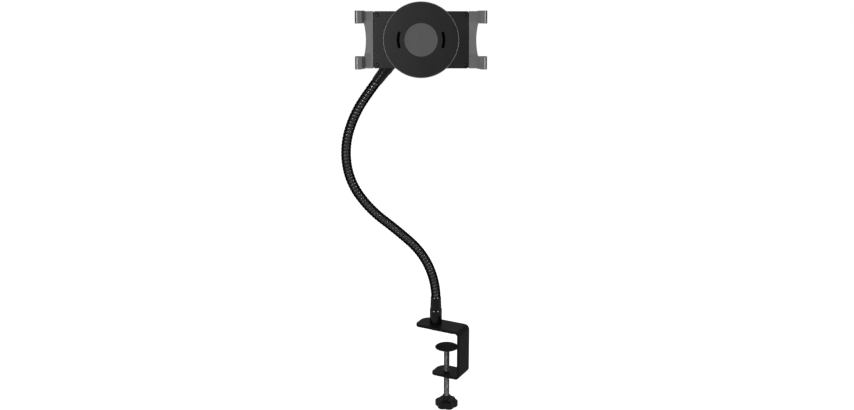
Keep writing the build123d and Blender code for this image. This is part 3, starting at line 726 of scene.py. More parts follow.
def painted_highlight_plastic(name, base):
    """The paler bead along the outer side of each grip: its pale colour is a painted highlight on the hook's
    rounded outer edge.
    """
    skin = Finish(name, base, 0.38, Specular_IOR_Level=0.4)
    skin.grain(0.5, 0.008, tint=1.15, rough=0.05)
    skin.mottle(5.0, 0.9)
    skin.close()


def black_felt(name, base):
    """Black felt that gives almost no light back: painted shade behind the slots."""
    felt = Finish(name, base, 0.95, Specular_IOR_Level=0.0)
    felt.grain(0.3, 0.03, tint=1.6)
    felt.close()


# For each family: the name of a material, its colour, and then what the family's function takes
MATERIALS = {
    powder_coat: [("bar_paint", "black_paint")],
    cast_coat: [("knuckle_paint", "black_paint")],
    thin_paint: [("plate_paint", "black_paint")],
    gloss_coat: [
        ("fitting_paint", "gloss_paint", 0.16, 0.012, 0.10, 0.3, 0.7),
        ("ferrule_paint", "gloss_paint", 0.18, 0.012, 0.10, 0.3, 0.7),
        ("neck_paint", "gloss_paint", 0.15, 0.010, 0.42, 0.06, 0.26),
    ],
    moulded: [
        ("housing_plastic", "black_plastic", 0.26, 0.008, 1.3, 0.105),
        ("bracket_plastic", "black_plastic", 0.5, 0.014, 1.25, 0.2),
        ("knob_plastic", "black_plastic", 0.28, 0.010, 1.2, 0.09),
        ("cap_plastic", "cap_plastic", 0.60, 0.010, 1.06, 0.12),
        # arm_plastic's last value, edge 0.62, darkens the colour where the surface turns from the eye: painted
        # shade
        ("arm_plastic", "grey_plastic", 0.40, 0.010, 1.12, 0.2, 0.14, 0.34, 0.62),
        ("washer_plastic", "pale_plastic", 0.4, 0.008, 0.94, 0.5),
        ("gear_plastic", "pale_plastic", 0.42, 0.008, 0.92, 0.5),
    ],
    rubber: [("jaw_rubber", "black_rubber", 0.03), ("grip_rubber", "grey_rubber", 0.025)],
    steel: [
        # each steel's edge, the last value or 0.6, darkens the colour where the steel turns from the eye: painted
        # shade
        ("screw_steel", "dull_steel", 0.34, 0.25, 0.85, 0.06),
        ("fastener_steel", "bright_steel", 0.26, 0.2, 0.9),
        ("spring_steel", "bright_steel", 0.3, 0.3, 0.8),
        ("core_steel", "bright_steel", 0.38, 0.4, 0.75),
    ],
    blackened_steel: [("dark_screw", "dark_metal")],
    highlight_rim_steel: [("polished_edge", "burnished_metal")],
    painted_highlight_plastic: [("grip_edge", "pale_bead")],
    black_felt: [("dust_felt", "felt")],
}


class MOUNT_OT_materials(bpy.types.Operator):
    """Make every material, and dress the pieces that come with the frame"""

    bl_idname = "mount.materials"
    bl_label = "Materials"

    def execute(self, context):
        for plain in list(bpy.data.materials):
            bpy.data.materials.remove(plain)
        for build in (grain_group, mottle_group, handling_group, machining_group):
            build()
        for family, rows in MATERIALS.items():
            for name, base, *settings in rows:
                family(name, getattr(context.scene.mount_colours, base), *settings)
        for part in frame["record"]["subparts"]:
            node = frame["nodes"][part["node"]]
            node.data.materials.clear()
            node.data.materials.append(bpy.data.materials[part["material_slot"]])
        return {"FINISHED"}


# Clamp


def clamp_place(sizes):
    """The clamp's place, turned about the screw."""
    return Matrix.Rotation(sizes.turn, 4, "Z")


def round_size(node):
    """Radius and depth in mm of a round piece that comes with the frame."""
    low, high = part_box(node)
    return (high.x - low.x) / 2 / MM, (high.z - low.z) / MM


class MOUNT_OT_clamp_bar(bpy.types.Operator):
    """Bend the clamp bar from one strip, round its tips and drill it for the screw"""

    bl_idname = "mount.clamp_bar"
    bl_label = "Clamp bar"

    edge = 0.55
    screw_gap = 0.05
    corner_share = 0.98

    def execute(self, context):
        sizes = context.scene.mount_clamp
        half = sizes.bar_thickness / 2
        top = sizes.top_face - half
        bottom = sizes.top_face - sizes.height + half
        limb = sizes.screw_to_limb - half
        side = -sizes.bar_width / 2
        bend = sizes.bend_radius + half
        bar = draw_chain("clamp_bar", [
            ((-sizes.upper_reach, side, top), 0), ((limb, side, top), bend),
            ((limb, side, bottom), bend), ((-sizes.lower_reach, side, bottom), 0),
        ], segments=10)
        bpy.ops.mesh.extrude_edges_move(TRANSFORM_OT_translate={"value": (0, sizes.bar_width, 0)})
        for way, radius in ((1, sizes.far_corner), (-1, sizes.near_corner)):
            choose(bar, "VERT", lambda v: self.is_corner(v.co, sizes, way))
            bpy.ops.mesh.bevel(offset=radius, offset_type="OFFSET", segments=12, affect="VERTICES")
        mend(bar)
        apply(bar, "SOLIDIFY", thickness=sizes.bar_thickness, offset=0.0, use_even_offset=True)
        hole, middle, depth = sizes.screw_diameter / 2 / MM + self.screw_gap, bottom / MM, half / MM
        cut(bar, round_bar("screw_hole", hole, middle - 4 * depth, middle + 4 * depth))
        soften(bar, self.edge, segments=3)
        settle(bar, clamp_place(sizes), "clamp", "bar_paint", "clamp_bracket")
        return {"FINISHED"}

    def is_corner(self, spot, sizes, way):
        """Whether the spot is at the outer end of a jaw, on the side given by way."""
        tip = self.corner_share * sizes.lower_reach
        side = self.corner_share * sizes.bar_width / 2
        return spot.x < -tip and spot.y * way > side


class MOUNT_OT_rubber_faces(bpy.types.Operator):
    """Mould the grooved pad under the upper jaw and the round pad on the pressure plate"""

    bl_idname = "mount.rubber_faces"
    bl_label = "Rubber faces"

    pad_length = 37.0
    pad_width = 34.5
    pad_thickness = 0.8
    pad_edge = 0.22
    end_margin = 4.0
    groove_pitch = 3.1
    groove_width = 1.1
    groove_depth = 0.3
    ring_count = 6
    ring_margin = 2.2
    ring_pitch = 2.4
    ring_width = 1.0
    ring_depth = 0.35

    def execute(self, context):
        self.jaw_pad(context.scene.mount_clamp)
        self.plate_pad()
        return {"FINISHED"}

    def jaw_pad(self, sizes):
        """The pad's grooved face is down. Its outline is drawn from the side and pulled across."""
        end, side = self.pad_length / 2, self.pad_width / 2
        room = self.pad_length - 2 * self.end_margin
        count = int(room / self.groove_pitch / 2) * 2 + 1
        outline = [(end, self.pad_thickness), (-end, self.pad_thickness), (-end, 0)]
        for index in range(count):
            x = (index - (count - 1) / 2) * self.groove_pitch
            near, far = x - self.groove_width / 2, x + self.groove_width / 2
            outline += [(near, 0), (near, self.groove_depth), (far, self.groove_depth), (far, 0)]
        pad = drawn_across("jaw_rubber_pad", outline + [(end, 0)], -side, side)
        soften(pad, self.pad_edge)
        settle(pad, clamp_place(sizes), "clamp", "jaw_rubber", "jaw_pad")

    def plate_pad(self):
        """The round pad, with ring grooves in its upper face."""
        radius, thickness = round_size("plate_pad")
        profile = [(0, 0), (radius, 0), (radius, thickness, 0.3)]
        for index in range(self.ring_count):
            outer = radius - self.ring_margin - self.ring_pitch * index
            bottom = (outer - self.ring_width / 2, thickness - self.ring_depth)
            profile += [(outer, thickness), bottom, (outer - self.ring_width, thickness)]
        pad = turned("plate_rubber", profile + [(0, thickness)], steps=72)
        seat = Matrix.Translation((0, 0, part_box("plate_pad")[0].z))
        settle(pad, seat, "pressure_plate", "jaw_rubber", "plate_pad")


class MOUNT_OT_pressure_plate(bpy.types.Operator):
    """Spin the pressed plate with its rolled rim and its hub"""

    bl_idname = "mount.pressure_plate"
    bl_label = "Pressure plate"

    rim_width = 2.5
    rim_thickness = 0.9
    hub_radius = 7.0
    hub_height = 0.7
    hub_flare = 3.0

    def execute(self, context):
        radius, depth = round_size("pressure_plate")
        rim, hub, foot = -self.rim_thickness, self.hub_radius, self.hub_height - depth
        plate = turned("dished_plate", [
            (0, 0), (radius, 0, 0.3), (radius, rim, 0.3), (radius - self.rim_width, rim - 0.4, 0.8),
            (hub + self.hub_flare, foot + 0.2, 1.2), (hub, foot, 0.3), (hub - 0.4, -depth, 0.25),
            (0, -depth),
        ], steps=96)
        seat = Matrix.Translation((0, 0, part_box("pressure_plate")[1].z))
        settle(plate, seat, "pressure_plate", "plate_paint", "pressure_plate")
        return {"FINISHED"}


class MOUNT_OT_clamp_screw(bpy.types.Operator):
    """Wind the thread of the clamp screw and cap both ends"""

    bl_idname = "mount.clamp_screw"
    bl_label = "Clamp screw"

    thread_depth = 0.68
    end_gap = 0.1

    def execute(self, context):
        sizes = context.scene.mount_clamp
        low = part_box("clamp_screw")[0].z
        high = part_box("pressure_plate")[0].z - self.end_gap * MM
        screw = wound_rod(
            "threaded_rod", sizes.screw_diameter / 2, self.thread_depth * MM, sizes.screw_pitch,
            low, high, thread_shape, steps=32,
        )
        settle(screw, AT_ORIGIN, "clamp_screw", "screw_steel", "clamp_screw", angle=50)
        return {"FINISHED"}


def thread_shape(share):
    """Depth share over one pitch of a V thread with a narrow crest and a wider root."""
    crest, flank, root_end = 0.125, 0.3125, 0.5625
    depth = (share - crest if share <= root_end else 1.0 - share) / flank
    return max(0.0, min(1.0, depth))


def wound_rod(name, radius, depth, pitch, low, high, shape, steps, points=8):
    """A rod with a wound rib or thread between two heights, in metres.

    The shape gives the depth of the groove as a share, over one pitch."""
    first = math.floor(low / pitch) - 1
    turns = math.ceil((high - low) / pitch) + 3
    shares = [index / points for index in range(points + 1)]
    outline = [((radius - depth * shape(share), 0, (first + share) * pitch), 0) for share in shares]
    rod = draw_chain(name, outline)
    bpy.ops.object.mode_set(mode="OBJECT")
    apply(
        rod, "SCREW", axis="Z", screw_offset=pitch, iterations=turns, steps=steps, render_steps=steps,
        use_merge_vertices=True, merge_threshold=MERGE, use_normal_calculate=True,
    )
    pick(rod)
    bpy.ops.object.mode_set(mode="EDIT")
    for height, normal in ((low, -1), (high, 1)):
        bpy.ops.mesh.select_all(action="SELECT")
        bpy.ops.mesh.bisect(
            plane_co=(0, 0, height), plane_no=(0, 0, normal), use_fill=True, clear_outer=True
        )
    return mend(rod)


def lobed_outline(radius, lobe_radius, count, points=20):
    """The outline of a knob: round lobes with soft hollows, in mm."""
    hollow_share, softness = 0.36, 0.35
    centre = radius - lobe_radius
    hollow = radius - hollow_share * lobe_radius
    outline = []
    for index in range(points * count):
        angle = 2 * math.pi * index / (points * count)
        off = (angle + math.pi / count) % (2 * math.pi / count) - math.pi / count
        inside = max(0.0, lobe_radius**2 - (centre * math.sin(off))**2)
        lobe = centre * math.cos(off) + math.sqrt(inside) if inside else 0.0
        gap = lobe - hollow
        reach = hollow + (gap + math.sqrt(gap**2 + softness)) / 2
        outline.append((reach * math.cos(angle), reach * math.sin(angle)))
    return outline


def lobed_knob(name, radius, lobe_radius, count, levels):
    """A lobed knob drawn up through levels of height in mm and scale."""
    start, scale = levels[0]
    outline = lobed_outline(radius, lobe_radius, count)
    corners = [((x * scale * MM, y * scale * MM, start * MM), 0) for x, y in outline]
    knob = draw_chain(name, corners + corners[:1])
    bpy.ops.mesh.edge_face_add()
    for (low, narrow), (high, wide) in zip(levels, levels[1:]):
        bpy.ops.mesh.extrude_region_move(TRANSFORM_OT_translate={"value": (0, 0, (high - low) * MM)})
        ratio = wide / narrow
        bpy.ops.transform.resize(value=(ratio, ratio, 1.0), center_override=(0, 0, high * MM))
    return mend(knob)


class MOUNT_OT_screw_knob(bpy.types.Operator):
    """Draw the hand knob's lobed body and spin the cone that runs up to the screw"""

    bl_idname = "mount.screw_knob"
    bl_label = "Hand knob"

    cone_foot = 9.2
    cone_shoulder = 6.4
    cone_top = 5.8
    cone_height = 7.1
    bore_gap = 0.1
    bore_depth = 2.0
    lobe_radius = 7.4
    turn = math.radians(-10)

    # Heights in mm with the knob's scale there, from its underside and from where the cone starts
    foot_levels = ((0, 0.90), (0.5, 0.95), (1.3, 0.985), (2.4, 1.0))
    top_levels = (
        (-3.8, 1.0), (-2.9, 0.985), (-2.2, 0.94), (-1.2, 0.85), (0, 0.74), (1.2, 0.63), (2.2, 0.54)
    )

    def execute(self, context):
        sizes = context.scene.mount_clamp
        low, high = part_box("screw_knob")
        depth = (high.z - low.z) / MM - self.cone_height
        levels = [*self.foot_levels, *[(depth + height, scale) for height, scale in self.top_levels]]
        radius = sizes.knob_diameter / 2 / MM
        knob = lobed_knob("hand_knob", radius, self.lobe_radius, sizes.knob_lobes, levels)
        top = depth + self.cone_height
        bore, bore_end = sizes.screw_diameter / 2 / MM + self.bore_gap, top - self.bore_depth
        cone = turned("knob_cone", [
            (0, 1.0), (self.cone_foot, 1.0), (self.cone_foot, depth + 2.0, 0.5),
            (self.cone_shoulder, top - 1.2, 1.0), (self.cone_top, top, 0.4), (bore, top, 0.2),
            (bore, bore_end), (0, bore_end),
        ])
        join(knob, cone)
        seat = Matrix.Translation((0, 0, low.z)) @ Matrix.Rotation(self.turn, 4, "Z")
        settle(knob, seat, "clamp_screw", "knob_plastic", "screw_knob", angle=40)
        return {"FINISHED"}


# Neck


class Route:
    """The neck's centre line: arcs between the bending points, with the arc length at each."""

    bends = (22.8, 24.3, 4.0, -16.9, -26.7, -23.8, -17.4, -3.3)
    segment = 53.3
    lead = 34.0
    tail = 18.0
    seat = 8.0

    def __init__(self):
        between = [self.segment] * (len(self.bends) - 1)
        spans = [self.lead, *between, self.segment - self.tail, self.tail]
        self.angles = [0.0, *self.bends, 0.0]
        start = foot_place.translation + Vector((0, 0, self.seat * MM))
        self.points, self.directions = [start], [Vector((0, 0, 1))]
        self.marks, self.spans = [0.0], [span * MM for span in spans]
        lean = 0.0
        for span, angle in zip(self.spans, self.angles):
            turn = -math.radians(angle)
            middle_lean = lean + turn / 2
            chord = span if not angle else 2 * abs(span / turn) * math.sin(abs(turn) / 2)
            step = Vector((math.sin(middle_lean), 0, math.cos(middle_lean))) * chord
            lean += turn
            self.points.append(self.points[-1] + step)
            self.directions.append(Vector((math.sin(lean), 0, math.cos(lean))))
            self.marks.append(self.marks[-1] + span)

    def curve(self):
        """The route as a curve object whose handles follow each arc."""
        data = bpy.data.curves.new("neck_route", "CURVE")
        data.dimensions = "3D"
        data.resolution_u = 48
        spline = data.splines.new("BEZIER")
        spline.bezier_points.add(len(self.points) - 1)
        for index, knot in enumerate(spline.bezier_points):
            knot.handle_left_type = knot.handle_right_type = "FREE"
            place, way = self.points[index], self.directions[index]
            knot.co = place
            knot.handle_left = place - way * self.handle(index - 1)
            knot.handle_right = place + way * self.handle(index)
        route = bpy.data.objects.new("neck_route", data)
        bpy.context.scene.collection.objects.link(route)
        return route

    def handle(self, index):
        """Length of a curve handle on the arc after the point with this index."""
        if not 0 <= index < len(self.spans):
            return self.spans[0] / 3
        turn = math.radians(abs(self.angles[index]))
        span = self.spans[index]
        return span / 3 if turn < 0.01 else 4 / 3 * math.tan(turn / 4) * span / turn

    def end_place(self):
        """The place at the neck's upper end, with Z along it."""
        way = self.directions[-1]
        return frame_along(self.points[-1], (way.z, 0, -way.x), way)


def rib_shape(share):
    """Depth share of a round wire between narrow grooves, over one pitch."""
    return 1.0 - math.sqrt(max(0.0, 1.0 - (2 * share - 1) ** 2)) ** 0.8


class MOUNT_OT_neck(bpy.types.Operator):
    """Wind the ribbed neck, lay it along its route and cut it into one piece for each bending point"""

    bl_idname = "mount.neck"
    bl_label = "Neck"

    lengths = 7
    first_bend = 2

    def execute(self, context):
        sizes = context.scene.mount_neck
        route = Route()
        guide = route.curve()
        marks = route.marks[self.first_bend:self.first_bend + self.lengths]
        halfway = [(a + b) / 2 for a, b in zip(marks, marks[1:])]
        edges = [route.marks[0], *halfway, route.marks[-1]]
        for index in range(self.lengths):
            piece = wound_rod(
                f"neck_length_{index + 1}", sizes.diameter / 2, sizes.rib_depth, sizes.rib_pitch,
                edges[index], edges[index + 1], rib_shape, steps=44, points=10,
            )
            apply(piece, "CURVE", object=guide, deform_axis="POS_Z")
            finish(piece, "neck_paint", angle=60)
            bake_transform(piece)
            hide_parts(f"neck_tube_{index + 1}")
        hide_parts("neck_tube_8")
        bpy.data.objects.remove(guide)
        return {"FINISHED"}


class MOUNT_OT_neck_fittings(bpy.types.Operator):
    """Turn the two sockets and the two tapered ferrules"""

    bl_idname = "mount.neck_fittings"
    bl_label = "Neck fittings"

    base_height = 25.0
    top_length = 34.0
    top_overlap = 2.0
    neck_seat = 8.0
    neck_gap = 0.05
    crank_radius = 5.55
    mark_azimuth = 21
    socket_mark_size = 1.05
    socket_mark_drop = 1.9
    sleeve_mark_size = 0.75
    sleeve_mark_rise = 20.0
    sleeve_swell = 0.12

    def execute(self, context):
        sizes = context.scene.mount_neck
        radius = sizes.socket_diameter / 2 / MM
        bore = sizes.diameter / 2 / MM + self.neck_gap
        base = self.socket("neck_base_socket", radius, self.base_height, bore, self.neck_seat, 0.4, 0.2)
        settle(base, foot_place, "clamp", "fitting_paint", "base_socket")
        height = self.base_height - self.socket_mark_drop
        marks = self.crimp_marks(radius, height, self.socket_mark_size)
        sleeve = sizes.ferrule_narrow / 2 / MM + self.sleeve_swell
        height = self.base_height + self.sleeve_mark_rise
        marks += self.crimp_marks(sleeve, height, self.sleeve_mark_size)
        settle(join(*marks), AT_ORIGIN, "clamp", "fastener_steel")
        seat = Route().end_place() @ Matrix.Translation((0, 0, self.top_overlap * MM))
        length, crank = self.top_length, self.crank_radius
        top = self.socket("neck_top_socket", radius, length, crank, length / 2, 1.1, 0.3)
        settle(top, seat, "neck_link_8", "fitting_paint", "top_socket")
        rim = foot_place @ Matrix.Translation((0, 0, self.base_height * MM))
        self.ferrule("base_taper", sizes, bore, rim, "clamp", "base_ferrule")
        upside_down = seat @ Matrix.Rotation(math.pi, 4, "X")
        self.ferrule("top_taper", sizes, bore, upside_down, "neck_link_8", "top_ferrule")
        return {"FINISHED"}

    def socket(self, name, radius, height, bore, seat, foot_edge, bore_edge):
        """A round cup that is bored from above down to its seat, in mm."""
        return turned(name, [
            (0, 0), (radius, 0, foot_edge), (radius, height, 0.9), (bore, height, bore_edge),
            (bore, seat), (0, seat),
        ], segments=4)

    def crimp_marks(self, radius, height, size):
        """Two bright dimples side by side on the front of a fitting."""
        profile = [(0, -0.6), (size, -0.6), (size, 0), (0.6 * size, 0.28), (0, 0.36)]
        out = Matrix.Translation((0, -radius * MM, height * MM)) @ Matrix.Rotation(math.pi / 2, 4, "X")
        marks = []
        for azimuth in (-self.mark_azimuth, self.mark_azimuth):
            turn = Matrix.Rotation(math.radians(azimuth), 4, "Z")
            marks.append(move(turned("crimp_mark", profile, steps=24), foot_place @ turn @ out))
        return marks

    def ferrule(self, name, sizes, bore, place, body, stands_for):
        """A tapered sleeve with a rim at its wide end and a rolled lip at its narrow end."""
        wide, narrow = sizes.ferrule_wide / 2 / MM, sizes.ferrule_narrow / 2 / MM
        high = sizes.ferrule_length / MM
        sleeve = turned(name, [
            (bore, 0), (wide, 0, 0.3), (wide, 1.6, 0.4), (narrow + 0.1, high - 1.2, 0.5),
            (narrow, high, 0.45), (bore, high, 0.15),
        ], segments=4)
        settle(sleeve, place, body, "ferrule_paint", stands_for)


# Tilting knuckle


class MOUNT_OT_tilt_fasteners(bpy.types.Operator):
    """Draw the hexagon nut and the small lobed knob of the tilt"""

    bl_idname = "mount.tilt_fasteners"
    bl_label = "Tilt fasteners"

    cheek_outer = 9.5
    knob_diameter = 26.0
    knob_thickness = 11.0
    knob_gap = 0.3
    lobe_radius = 3.5
    lobes = 5
    nut_width = 10.0
    nut_thickness = 5.0
    nut_gap = 0.05
    nut_edge = 0.4

    def execute(self, context):
        radius, top = self.knob_diameter / 2, self.knob_thickness
        knob = lobed_knob("tilt_hand_knob", radius, self.lobe_radius, self.lobes, [
            (0, 0.9), (0.5, 0.96), (1.4, 1.0), (top - 2.2, 1.0), (top - 0.9, 0.97), (top - 0.3, 0.92),
            (top, 0.84),
        ])
        seat = Matrix.Translation((0, 0, (self.cheek_outer + self.knob_gap) * MM))
        settle(knob, pin_place @ seat, "tilt_knob", "knob_plastic", "tilt_knob", angle=40)
        corner = self.nut_width / math.sqrt(3)
        turns = [math.radians(60 * index) for index in range(6)]
        points = [(corner * math.cos(turn), corner * math.sin(turn)) for turn in turns]
        nut = extruded("hex_nut", points, 0, -self.nut_thickness)
        soften(nut, self.nut_edge)
        seat = Matrix.Translation((0, 0, -(self.cheek_outer + self.nut_gap) * MM))
        settle(nut, pin_place @ seat, "tilt_head", "fastener_steel", "tilt_nut")
        return {"FINISHED"}


# Holder


CUT_PAST = 1                 # How far a cutter stands past the piece that it cuts, in mm
CAP_RECESS = 1.2             # How deep the round inlay is sunk in the disc, in mm
SCREW_RECESS = 1.2           # How deep the housing screws are sunk in the plate, in mm


def plate_outline(sizes, inset=0.0):
    """The holder's outline in mm: a plate with the disc standing out above and below it."""
    least_corner, hollow_radius, hollow_steps, disc_steps = 0.4, 5.0, 6, 14
    half_x, half_y = sizes.width / 2 / MM - inset, sizes.height / 2 / MM - inset
    radius, hollow = sizes.disc_diameter / 2 / MM - inset, hollow_radius + inset
    centre_y = half_y + hollow
    centre_x = math.sqrt((radius + hollow) ** 2 - centre_y**2)
    lean = math.atan2(centre_y, centre_x)
    quarter = [(half_x, 0, 0), (half_x, half_y, max(least_corner, sizes.corner / MM - inset))]
    for index in range(hollow_steps + 1):
        angle = -math.pi / 2 + (lean - math.pi / 2) * index / hollow_steps
        quarter.append((centre_x + hollow * math.cos(angle), centre_y + hollow * math.sin(angle), 0))
    for index in range(1, disc_steps + 1):
        angle = lean + (math.pi / 2 - lean) * index / disc_steps
        quarter.append((radius * math.cos(angle), radius * math.sin(angle), 0))
    upper = quarter + [(-x, y, r) for x, y, r in reversed(quarter[:-1])]
    return upper + [(x, -y, r) for x, y, r in reversed(upper[1:-1])]


def screw_spots(sizes):
    """The four corners of the plate where a screw sits, in mm."""
    x = (sizes.width / 2 - sizes.screw_inset) / MM
    y = (sizes.height / 2 - sizes.screw_inset) / MM
    return [(i * x, j * y) for i in (-1, 1) for j in (-1, 1)]


class MOUNT_OT_front_shell(bpy.types.Operator):
    """Draw the front shell with its disc, hollow it, and cut its slots, windows and screw recesses"""

    bl_idname = "mount.front_shell"
    bl_label = "Front shell"

    edge = 0.7
    inner_edge = 0.3
    disc_edge = 0.5
    disc_past = 0.1
    disc_lift = 0.02
    cap_gap = 0.1
    hole_radius = 2.4
    hole_depth = 1.7
    slot_half_angle = math.radians(20.5)
    slot_back = -4.0
    strip_half = 14.0
    strip_inside = 6.0
    strip_outside = 4.5
    strip_back = -3.2
    strip_front = -2.6
    rail_window = (20.4, 31.6)
    rack_window = (6.9, 16.6)
    window_depth = 4.4
    window_front = -3.55

    def execute(self, context):
        sizes = context.scene.mount_holder
        low, step, wall = -sizes.parting / MM, sizes.disc_step / MM, sizes.wall / MM
        shell = extruded("front_shell", plate_outline(sizes), low, 0)
        round_edges(shell, self.edge, lambda e: all(v.co.z > -MERGE for v in e.verts))
        radius = sizes.disc_diameter / 2 / MM
        back, rim = low + self.disc_lift, radius + self.disc_past
        unite(shell, turned("raised_disc", [
            (0, back), (rim, back), (rim, step, self.disc_edge), (0, step),
        ], steps=180, segments=5))
        under = low - CUT_PAST
        cut(shell, extruded("plate_room", plate_outline(sizes, wall), under, -wall))
        cut(shell, round_bar("disc_room", radius - wall, under, step - wall, vertices=120))
        soften(shell, self.inner_edge, segments=2, angle=50)
        cap = sizes.cap_diameter / 2 / MM + self.cap_gap
        cut(shell, round_bar("cap_recess", cap, step - CAP_RECESS, step + CUT_PAST, vertices=128))
        cut(shell, join(*[self.slot(sizes, side, step) for side in (-1, 1)]))
        cut(shell, join(*self.windows(sizes, under)))
        bottom = -SCREW_RECESS - self.hole_depth
        holes = [
            round_bar("screw_recess", self.hole_radius, bottom, CUT_PAST, spot)
            for spot in screw_spots(sizes)
        ]
        cut(shell, join(*holes))
        settle(shell, holder_place, "holder", "housing_plastic", "front_housing", angle=30)
        # Near-black strips behind the slots are painted shade inside them.
        self.slot_shade_strips(sizes)
        return {"FINISHED"}

    def slot(self, sizes, side, step):
        """One slot, on an arc about the holder's middle."""
        radius, half = sizes.slot_radius / MM, sizes.slot_width / 2 / MM
        angles = [self.slot_half_angle * share for share in even_shares(9)]
        points = []
        for reach, way in ((radius + half, angles), (radius - half, angles[::-1])):
            points += [(side * reach * math.cos(angle), reach * math.sin(angle)) for angle in way]
        return extruded("slot", points, self.slot_back, step + CUT_PAST)

    def slot_shade_strips(self, sizes):
        """A near-black felt strip behind each slot hides the racks and paints the shade inside the slot."""
        radius, half = sizes.slot_radius / MM, self.strip_half
        near, far = radius - self.strip_inside, radius + self.strip_outside
        strips = []
        for side in (-1, 1):
            low, high = (side * near, -half, self.strip_back), (side * far, half, self.strip_front)
            strips.append(block("dust_strip", low, high))
        settle(join(*strips), holder_place, "holder", "grip_rubber", look="dust_felt")

    def windows(self, sizes, under):
        """Openings in both ends, for the rails and the racks of the arms."""
        end = sizes.width / 2 / MM
        openings = []
        for side in (-1, 1):
            for way, span in ((-1, self.rail_window), (1, self.rail_window), (-side, self.rack_window)):
                near = (side * (end - self.window_depth), way * span[0], under)
                far = (side * (end + CUT_PAST), way * span[1], self.window_front)
                openings.append(block("window", near, far))
        return openings


class MOUNT_OT_holder_trim(bpy.types.Operator):
    """Spin the round inlay, a metal ring at the edge of the disc whose brighter reflection is painted highlight,
    and the cross-slotted screws of the holder
    """

    bl_idname = "mount.holder_trim"
    bl_label = "Holder trim"

    cap_gap = 0.15
    bead = 0.62
    bead_inside = 0.25
    bead_drop = 0.45
    head_radius = 2.25
    head_height = 1.6
    shank_radius = 1.5
    shank_length = 12.0
    cross_reach = 1.3
    cross_half = 0.3
    cross_depth = 0.7
    first_turn = 25
    turn_step = 50

    def execute(self, context):
        sizes = context.scene.mount_holder
        step = sizes.disc_step / MM
        radius, back = sizes.cap_diameter / 2 / MM - self.cap_gap, step - CAP_RECESS
        profile = [(0, back), (radius, back), (radius, step, 0.3), (0, step)]
        cap = turned("round_inlay", profile, steps=128)
        settle(cap, holder_place, "holder", "cap_plastic", "centre_cap")
        screws = [self.screw(spot, index) for index, spot in enumerate(screw_spots(sizes))]
        settle(join(*screws), holder_place, "holder", "dark_screw", "housing_screws")
        deselect()
        # A metal ring at the disc's edge: its brighter reflection is a painted highlight on the disc's rounded
        # edge.
        bpy.ops.mesh.primitive_torus_add(
            major_radius=sizes.disc_diameter / 2 - self.bead_inside * MM, minor_radius=self.bead * MM,
            major_segments=180, minor_segments=14, location=(0, 0, (step - self.bead_drop) * MM),
        )
        bead = named("disc_bead")
        place = holder_place @ bead.matrix_world
        settle(bead, place, "holder", "housing_plastic", look="polished_edge")
        return {"FINISHED"}

    def screw(self, spot, index):
        """A pan-headed screw whose cross is turned a little differently in each corner."""
        head, under, low = self.head_radius, -self.head_height, -self.head_height - self.shank_length
        screw = turned("cross_screw", [
            (0, low), (self.shank_radius, low, 0.3), (self.shank_radius, under), (head, under, 0.1),
            (head, -0.3, 0.4), (1.0, 0, 0.4), (0, 0),
        ], steps=36)
        reach, half, depth = self.cross_reach, self.cross_half, self.cross_depth
        cross = block("cross", (-reach, -half, -depth), (reach, half, CUT_PAST))
        cut(screw, unite(cross, block("bar", (-half, -reach, -depth), (half, reach, CUT_PAST))))
        place = Matrix.Translation((spot[0] * MM, spot[1] * MM, -SCREW_RECESS * MM))
        turn = math.radians(self.first_turn + self.turn_step * index)
        return move(screw, place @ Matrix.Rotation(turn, 4, "Z"))


# Arms


